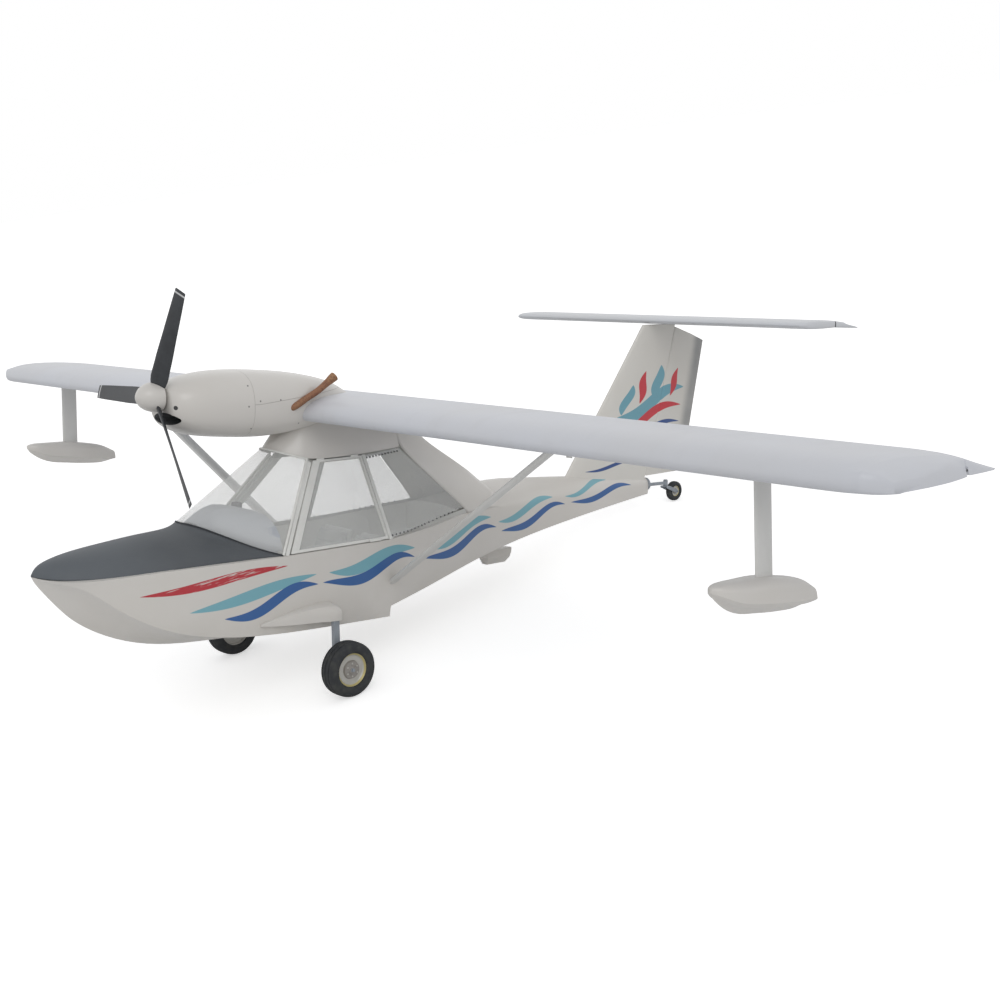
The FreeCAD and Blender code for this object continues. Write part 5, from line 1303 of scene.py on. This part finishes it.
for y, keel, chine, side, deck in FLOAT_LINES:
    rim = (chine[0] * RIM_OUT, chine[1] - RIM_DROP)
    tuck = (rim[0] * TUCK_IN, rim[1] - TUCK_DROP)
    belly = [(0.0, keel), (tuck[0] * 0.5, keel + (tuck[1] - keel) * BELLY_FULLNESS), tuck]
    dome = [(side[0] * wide, side[1] + (deck - side[1]) * rise) for wide, rise in DOME]
    crown = [rim, between(rim, side, 0.5), side, *dome, (0.0, deck)]
    half = [Vector((p.x, y, p.y)) for p in drawn(belly, 2) + drawn(crown, 2)[1:]]
    sections.append([p + PORT * FLOAT_X for p in half + starboard(half[1:-1])])
float_cage = lofted(flowing(sections, 4))
float_paint = enamel("float_enamel", "D6D3CF", "CCC8C1", 0.38).material
shown("wing_floats", pair(float_cage), "airframe", float_paint, "floats", sharp=24)
post_cage = streamlined(POST_FOOT, POST_HEAD, POST_CHORD, POST_DEPTH)
shown("float_post_pair", pair(post_cage), "airframe", strut_paint, "float_posts", sharp=50)

# ---------------------------------------------------------------- main landing gear legs
# Square alloy legs swing up beside the hull for water; a small moulded fairing smooths each leg's root.
FAIRING_LINES = [  # station y, distance out, top z, bottom z
    (-0.225, 0.002, -0.498, -0.512), (-0.060, 0.028, -0.458, -0.528), (0.100, 0.055, -0.428, -0.538),
    (0.250, 0.082, -0.412, -0.543), (0.345, 0.108, -0.408, -0.548), (0.405, 0.118, -0.418, -0.550),
    (0.440, 0.112, -0.445, -0.552),
]
FAIRING_SKIN = [(0.0, 0.0), (0.62, 0.06), (0.93, 0.26), (1.0, 0.70), (0.98, 1.0)]
FAIRING_SUNK = 0.020
HALF_BEAM = 0.600
gear_paint = clouded("gear_enamel", "99A0A8", "8B9199", 8.0, 0.42, 0.12)
as_packed("gear_leg_pair", "gear_legs", "airframe", gear_paint, 0.004)
sections = []
for y, out, top_z, low_z in FAIRING_LINES:
    skin = drawn([(max(out * x, 0.001), down) for x, down in FAIRING_SKIN], 2)
    outline = [(-FAIRING_SUNK, 0.0)] + [(p.x, p.y) for p in skin] + [(-FAIRING_SUNK, 1.0)]
    sections.append([Vector((HALF_BEAM + x, y, top_z + (low_z - top_z) * down)) for x, down in outline])
fairing_cage = lofted(flowing(sections, 3))
shown("leg_fairing_pair", pair(fairing_cage), "airframe", white_paint, "gear_fairings",
      sharp=45)

# ---------------------------------------------------------------- main wheels
# Low-pressure tyres with three road grooves sit on split alloy rims, held by six nuts round a hub cap.
WHEEL_RADIUS, TYRE_WIDTH, RIM_RADIUS = 0.218, 0.160, 0.131
AXLE_BORE = 0.0161
TREAD_LINE = [(-0.72, 0.0), (-0.90, 0.08), (-0.985, 0.26), (-1.0, 0.48), (-0.95, 0.68), (-0.83, 0.86),
              (-0.72, 0.935), (-0.60, 0.968), (-0.545, 0.978), (-0.525, 0.920), (-0.455, 0.920),
              (-0.435, 0.988), (-0.09, 1.0), (-0.07, 0.935), (0.0, 0.935)]


def tyre_of(radius, width, rim_radius, centre, steps=72):
    """A tyre with road grooves, spun from half its section."""
    half = [(a * width / 2, rim_radius + d * (radius - rim_radius)) for a, d in TREAD_LINE]
    return spun(half + [(-a, r) for a, r in reversed(half[:-1])], centre, PORT, steps)


def wheel_of(rim_radius, width, bore, centre, bolts, steps=64):
    """A dished rim with a rolled edge, a hub cap that stands proud outboard and a ring of nuts.

    Faces beyond the lip and on the hub cap take the second and third material."""
    half = width * 0.36
    hub_radius = rim_radius * 0.55
    dish = half * 0.35
    profile = [(-half, bore), (half + 0.004, bore), (half + 0.004, hub_radius * 0.40),
               (half - 0.003, hub_radius * 0.48), (half - 0.005, hub_radius * 0.94),
               (half - dish, hub_radius * 1.03),
               (half - dish, rim_radius * 0.84), (half - dish * 0.6, rim_radius * 0.90),
               (half - 0.003, rim_radius * 0.945), (half, rim_radius * 0.97), (half, rim_radius),
               (-half, rim_radius), (-half, rim_radius * 0.96), (-half + dish, rim_radius * 0.9),
               (-half + dish, hub_radius), (-half, hub_radius * 0.9)]
    wheel = spun(profile, centre, PORT, steps)
    for face in wheel.faces:
        offset = face.calc_center_median() - Vector(centre)
        reach = math.hypot(offset.y, offset.z)
        if offset.x > 0 and reach > rim_radius * 0.90:
            face.material_index = 1
        elif offset.x > 0 and reach < hub_radius:
            face.material_index = 2
    parts = [wheel]
    for i in range(bolts):
        turn = 2 * math.pi * (i + 0.5) / bolts
        ring = Vector((half - 0.004, math.cos(turn) * hub_radius * 0.70, math.sin(turn) * hub_radius * 0.70))
        nut = bmesh.new()
        bmesh.ops.create_cone(nut, cap_ends=True, segments=6, radius1=rim_radius * 0.055,
                              radius2=rim_radius * 0.05, depth=rim_radius * 0.09)
        bmesh.ops.rotate(nut, cent=(0, 0, 0), matrix=Matrix.Rotation(math.pi / 2, 3, "Y"), verts=nut.verts)
        bmesh.ops.translate(nut, vec=Vector(centre) + ring, verts=nut.verts)
        parts.append(nut)
    return joined(*parts)


rubber = Finish("tyre_rubber")
dust = rubber.noise(16.0, 4.0)
rubber.wear(Base_Color=rubber.mixed(dust.over(0.55, 0.3) * 0.6, tint("303235"), tint("464744")),
            Roughness=0.78 + dust * 0.12, Normal=rubber.relief(rubber.noise(160.0), 0.0006))
rim_finishes = []
for name, bright, dim in (("alloy_dish", "C6C4BE", "B9B7B2"), ("rim_lip", "C9BC86", "B5A973"),
                          ("hub_cap", "A09C97", "8F8B86")):
    alloy = Finish(name)
    shine = alloy.noise(20.0)
    rim_finishes.append(alloy.wear(Base_Color=alloy.mixed(shine, tint(bright), tint(dim)), Metallic=0.25,
                                   Roughness=0.38 + shine * 0.15))
for side in ("left", "right"):
    body = f"wheel_{side[0]}"
    tyre = tyre_of(WHEEL_RADIUS, TYRE_WIDTH, RIM_RADIUS, MAIN_WHEEL)
    wheel = wheel_of(RIM_RADIUS, TYRE_WIDTH, AXLE_BORE, MAIN_WHEEL, 6)
    if side == "right":
        tyre, wheel = mirror_of(tyre), mirror_of(wheel)
    shown(f"main_tyre_{side}", tyre, body, rubber.material, f"tyre_{side}", sharp=45)
    shown(f"main_rim_{side}", wheel, body, rim_finishes, f"rim_{side}", sharp=35)

# ---------------------------------------------------------------- tail wheel
# A small steered wheel trails in a pressed fork on a tube that comes out of the stern.
TAIL_RADIUS, TAIL_WIDTH, TAIL_RIM, TAIL_BORE = 0.100, 0.064, 0.054, 0.0081
as_packed("tail_wheel_arm", "tail_arm", "airframe", gear_paint, 0.0015)
as_packed("tail_wheel_fork", "tail_fork", "tail_steer", gear_paint, 0.0012)
tyre = tyre_of(TAIL_RADIUS, TAIL_WIDTH, TAIL_RIM, TAIL_WHEEL, 48)
wheel = wheel_of(TAIL_RIM, TAIL_WIDTH, TAIL_BORE, TAIL_WHEEL, 4, 40)
shown("tail_wheel_tyre", tyre, "tail_wheel", rubber.material, "tail_tyre", sharp=45)
shown("tail_wheel_rim", wheel, "tail_wheel", rim_finishes, "tail_rim", sharp=35)

# ---------------------------------------------------------------- hull skid
# A small faired pod under the aft hull takes the knocks when the stern touches.
as_packed("hull_skid", "hull_pod", "airframe", white_paint, 0.004, melt=1.0)

# ---------------------------------------------------------------- instrument panel
# A moulded hood shades a flat panel with round dials in bright bezels; a small magnetic compass stands
# on top.
HOOD_LINES = [  # station y, low half width, shoulder half width and z, crown z
    (-0.450, 0.180, (0.132, 0.205), 0.235), (-0.330, 0.276, (0.198, 0.235), 0.300),
    (-0.200, 0.372, (0.264, 0.262), 0.332), (-0.060, 0.462, (0.300, 0.268), 0.314),
    (0.028, 0.528, (0.324, 0.268), 0.292),
]
HOOD_LOW_Z, HOOD_WIDEST_Z, HOOD_FOOT = -0.060, 0.020, 0.95
PANEL_LIP, PANEL_SET_IN = 0.022, 0.018
PANEL_Y = 0.010
DIALS = [  # x, z, radius
    (-0.30, 0.115, 0.040), (-0.19, 0.150, 0.040), (-0.08, 0.160, 0.040), (0.08, 0.160, 0.040),
    (0.19, 0.150, 0.040), (0.30, 0.115, 0.040), (-0.24, 0.050, 0.028), (-0.15, 0.060, 0.028),
    (0.15, 0.060, 0.028), (0.24, 0.050, 0.028),
]
COMPASS_SIZE, COMPASS_AT = (0.090, 0.055, 0.055), Vector((-0.045, -0.0095, 0.3135))
rows = []
for y, low_x, (shoulder_x, shoulder_z), crown_z in HOOD_LINES:
    half = [(low_x, y, HOOD_WIDEST_Z), (low_x * 0.94, y, shoulder_z * 0.55), (shoulder_x, y, shoulder_z),
            (shoulder_x * 0.45, y, crown_z), (0.0, y, crown_z + 0.002)]
    port_side = [Vector((low_x * HOOD_FOOT, y, HOOD_LOW_Z))] + drawn(half)
    rows.append(port_side + starboard(port_side[:-1]))
hood_cage = lofted(flowing(rows, 3))
aft_face = max(hood_cage.faces, key=lambda face: face.calc_center_median().y)
bmesh.ops.inset_individual(hood_cage, faces=[aft_face], thickness=PANEL_LIP, depth=-PANEL_SET_IN)
hood_finish = Finish("hood_grey")
grain = hood_finish.noise(180.0, 2.0)
hood_finish.wear(Base_Color=hood_finish.mixed(hood_finish.noise(4.0), tint("B4B8BE"), tint("ABAFB5")),
                 Roughness=0.62 + grain * 0.12, Normal=hood_finish.relief(grain, 0.0005))
shown("instrument_hood", hood_cage, "airframe", hood_finish.material, "instrument_panel",
      sharp=40)

bezels = []
dials = []
for x, z, radius in DIALS:
    ring = [(0.0, radius), (0.009, radius), (0.011, radius - 0.002), (0.009, radius - 0.005),
            (0.0, radius - 0.005)]
    bezels.append(spun(ring, (x, PANEL_Y, z), AFT, 40))
    disc = [(-0.001, 0.0), (-0.001, radius - 0.004), (0.005, radius - 0.004), (0.005, 0.0)]
    dials.append(spun(disc, (x, PANEL_Y, z), AFT, 40))
bezel_metal = mottled("bright_bezel", "A8AAAD", "989A9D", 40.0, 0.3, 0.1, 60.0, metal=0.8)
dial_print = Finish("dial_face")
across, aft, up = dial_print.levelled()
marks = None
for x, z, radius in DIALS:
    out_x, out_z = across - x, up - z
    reach = out_x.far(out_z)
    turn = out_x.maths("ARCTAN2", out_x, out_z)
    ticks = (turn * 6.0).sine().size().power(30.0) * reach.within(radius * 0.66, radius * 0.80, 0.002)
    hand = out_x.size().under(0.0014, 0.001) * out_z.over(0.0, 0.001) * reach.under(radius * 0.6, 0.002)
    marks = ticks.most(hand) if marks is None else marks.most(ticks).most(hand)
dial_print.wear(Base_Color=dial_print.mixed(marks, tint("1E2023"), tint("D8D8D2")),
                Roughness=0.3 + marks * 0.2)
shown("dial_bezels", joined(*bezels), "airframe", bezel_metal)
shown("dial_faces", joined(*dials), "airframe", dial_print.material)

black_plastic = mottled("black_plastic", "2C2E31", "37393D", 30.0, 0.5, 0.15, 90.0)
LENS_LINE = [(0.0, 0.0), (0.0, 0.022), (0.004, 0.021), (0.006, 0.0)]
lens = spun(LENS_LINE, COMPASS_AT + Vector((0, 0.027, 0.0025)), AFT, 32)
shown("panel_compass", joined(block(COMPASS_SIZE, COMPASS_AT, 0.014), lens), "airframe",
      black_plastic, sharp=40)

# ---------------------------------------------------------------- control sticks
# Each seat has a bent steel stick, painted as the gear is, with a moulded grip.
STICK_X = 0.26
STICK_LINE = [(0.34, -0.60), (0.33, -0.45), (0.28, -0.30), (0.27, -0.20)]
GRIP_LINE = [(0.273, -0.235), (0.270, -0.200), (0.268, -0.140), (0.262, -0.105)]
STICK_RADII, GRIP_RADII = [0.010] * 4, [0.013, 0.018, 0.017, 0.012]
for side, x in (("left", STICK_X), ("right", -STICK_X)):
    stick = lofted(flowing(tube([(x, y, z) for y, z in STICK_LINE], STICK_RADII, 12), 3))
    grip = lofted(flowing(tube([(x, y, z) for y, z in GRIP_LINE], GRIP_RADII, 16), 3))
    shown(f"stick_{side}", stick, "airframe", gear_paint)
    shown(f"stick_grip_{side}", grip, "airframe", black_plastic)

# ---------------------------------------------------------------- seats
# Two seats side by side. Each has a moulded pan and back, with foam pads in a grey woven cover, swollen by
# a cloth simulation and then sewn across in channels.
SEAT_INNER, SEAT_OUTER = 0.040, 0.480
PAN_ENDS = ((0.430, -0.450), (0.950, -0.490))
PAN_FOOT = (-0.590, -0.630)
PAN_TAPER_OUT, PAN_TAPER_IN = 0.020, 0.010
BACK_ENDS = ((-0.450, 0.945, 0.0), (-0.030, 1.115, 0.025))
BACK_WALL = 0.030
PAD_DEPTH = 0.050
PAD_INSET = 0.014
PAD_ROUND = 0.016
PAN_FRONT, PAN_REAR = (0.445, -0.446), (0.880, -0.480)
BACK_LOW, BACK_HIGH = (0.949, -0.412), (1.098, -0.045)
INSET_LOW, INSET_HIGH = 0.020, 0.040
PAN_OUT = Vector((0, 0.077, 0.997))
BACK_OUT = Vector((0, -0.927, 0.375))
VOXEL = 0.006
PRESSURE = 4.0
SWELL_MOST = 0.012
SETTLE_FRAMES = 20
CHANNELS = 4
CHANNEL_DEPTH, CHANNEL_WIDTH = 0.008, 0.016


def pad_block(corners, out):
    """A pad over a four-cornered face; out points away from what it rests on."""
    cage = bmesh.new()
    cage.faces.new([cage.verts.new(corner) for corner in corners])
    grown = bmesh.ops.extrude_face_region(cage, geom=cage.faces[:])["geom"]
    raised = [g for g in grown if isinstance(g, bmesh.types.BMVert)]
    bmesh.ops.translate(cage, vec=out * PAD_DEPTH, verts=raised)
    bmesh.ops.recalc_face_normals(cage, faces=cage.faces)
    bmesh.ops.bevel(cage, geom=cage.edges[:], offset=PAD_ROUND, segments=3, profile=0.5, affect="EDGES",
                    material=-1)
    return cage


def stuffed(cage):
    """Swells a pad by cloth simulation; no point moves further than the cap, so it keeps to its room."""
    thing = loose(cage, "pad")
    even = thing.modifiers.new("even", "REMESH")
    even.mode = "VOXEL"
    even.voxel_size = VOXEL
    slack = evaluated(thing)
    thing = loose(slack.copy(), "pad")
    cloth = thing.modifiers.new("cloth", "CLOTH")
    cloth.settings.use_pressure = True
    cloth.settings.uniform_pressure_force = PRESSURE
    cloth.settings.effector_weights.gravity = 0
    for step in range(1, SETTLE_FRAMES + 1):
        bpy.context.scene.frame_set(step)
    swollen = evaluated(thing)
    bpy.context.scene.frame_set(1)
    for before, after in zip(slack.verts, swollen.verts):
        move = after.co - before.co
        if move.length > SWELL_MOST:
            after.co = before.co + move.normalized() * SWELL_MOST
    slack.free()
    return swollen


def sewn(cage, along, first, last, out):
    """Presses sewn channels into the side of a pad that faces out."""
    for vertex in cage.verts:
        step = (vertex.co.dot(along) - first) / (last - first) * CHANNELS
        near = abs(step - round(step)) * (last - first) / CHANNELS
        if 0 < round(step) < CHANNELS and vertex.normal.dot(out) > 0.2:
            vertex.co -= out * (CHANNEL_DEPTH * math.exp(-(near / CHANNEL_WIDTH) ** 2 * 4))
    return cage


cover = Finish("seat_cover")
threads = cover.noise(420.0, 2.0)
blotch = cover.noise(5.0, 4.0)
cover.wear(Base_Color=cover.mixed(blotch.over(0.5, 0.5), tint("CDCFCB"), tint("C0C3C1")),
           Roughness=0.86 + blotch * 0.08, Normal=cover.relief(threads, 0.0006))
shell_finish = mottled("seat_shell", "DEDFDB", "D4D5D1", 5.0, 0.5, 0.1, 30.0)
pan_rows = []
for y, top_z in PAN_ENDS:
    corners = ((SEAT_INNER, top_z), (SEAT_OUTER, top_z), (SEAT_OUTER - PAN_TAPER_OUT, PAN_FOOT[0]),
               (SEAT_INNER + PAN_TAPER_IN, PAN_FOOT[1]))
    pan_rows.append([Vector((x, y, z)) for x, z in corners])
back_rows = []
for z, front_y, taper in BACK_ENDS:
    inner_x, outer_x, rear_y = SEAT_INNER + taper, SEAT_OUTER - taper, front_y + BACK_WALL
    corners = ((inner_x, front_y), (outer_x, front_y), (outer_x, rear_y), (inner_x, rear_y))
    back_rows.append([Vector((x, y, z)) for x, y in corners])
shown("seat_shells", pair(joined(lofted(pan_rows), lofted(back_rows))), "airframe",
      shell_finish, "seats", bevel=0.008)
pan_left, pan_right = SEAT_INNER + PAD_INSET, SEAT_OUTER - PAD_INSET
pan_corners = [Vector((x, *end)) for x, end in ((pan_left, PAN_FRONT), (pan_right, PAN_FRONT),
                                                (pan_right, PAN_REAR), (pan_left, PAN_REAR))]
back_corners = [Vector((SEAT_INNER + INSET_LOW, *BACK_LOW)), Vector((SEAT_INNER + INSET_HIGH, *BACK_HIGH)),
                Vector((SEAT_OUTER - INSET_HIGH, *BACK_HIGH)), Vector((SEAT_OUTER - INSET_LOW, *BACK_LOW))]
for kind, corners, along, first, last, out in (
        ("pan", pan_corners, AFT, PAN_FRONT[0], PAN_REAR[0], PAN_OUT),
        ("back", back_corners, UP, BACK_LOW[1], BACK_HIGH[1], BACK_OUT)):
    pad = sewn(stuffed(pad_block(corners, out)), along, first, last, out)
    for side, cage in (("right", mirror_of(pad)), ("left", pad)):
        piece = shown(f"seat_{kind}_pad_{side}", cage, "airframe", cover.material, sharp=60)
        smooth = piece.modifiers.new("smooth", "SUBSURF")
        smooth.levels = 1
        smooth.render_levels = 1
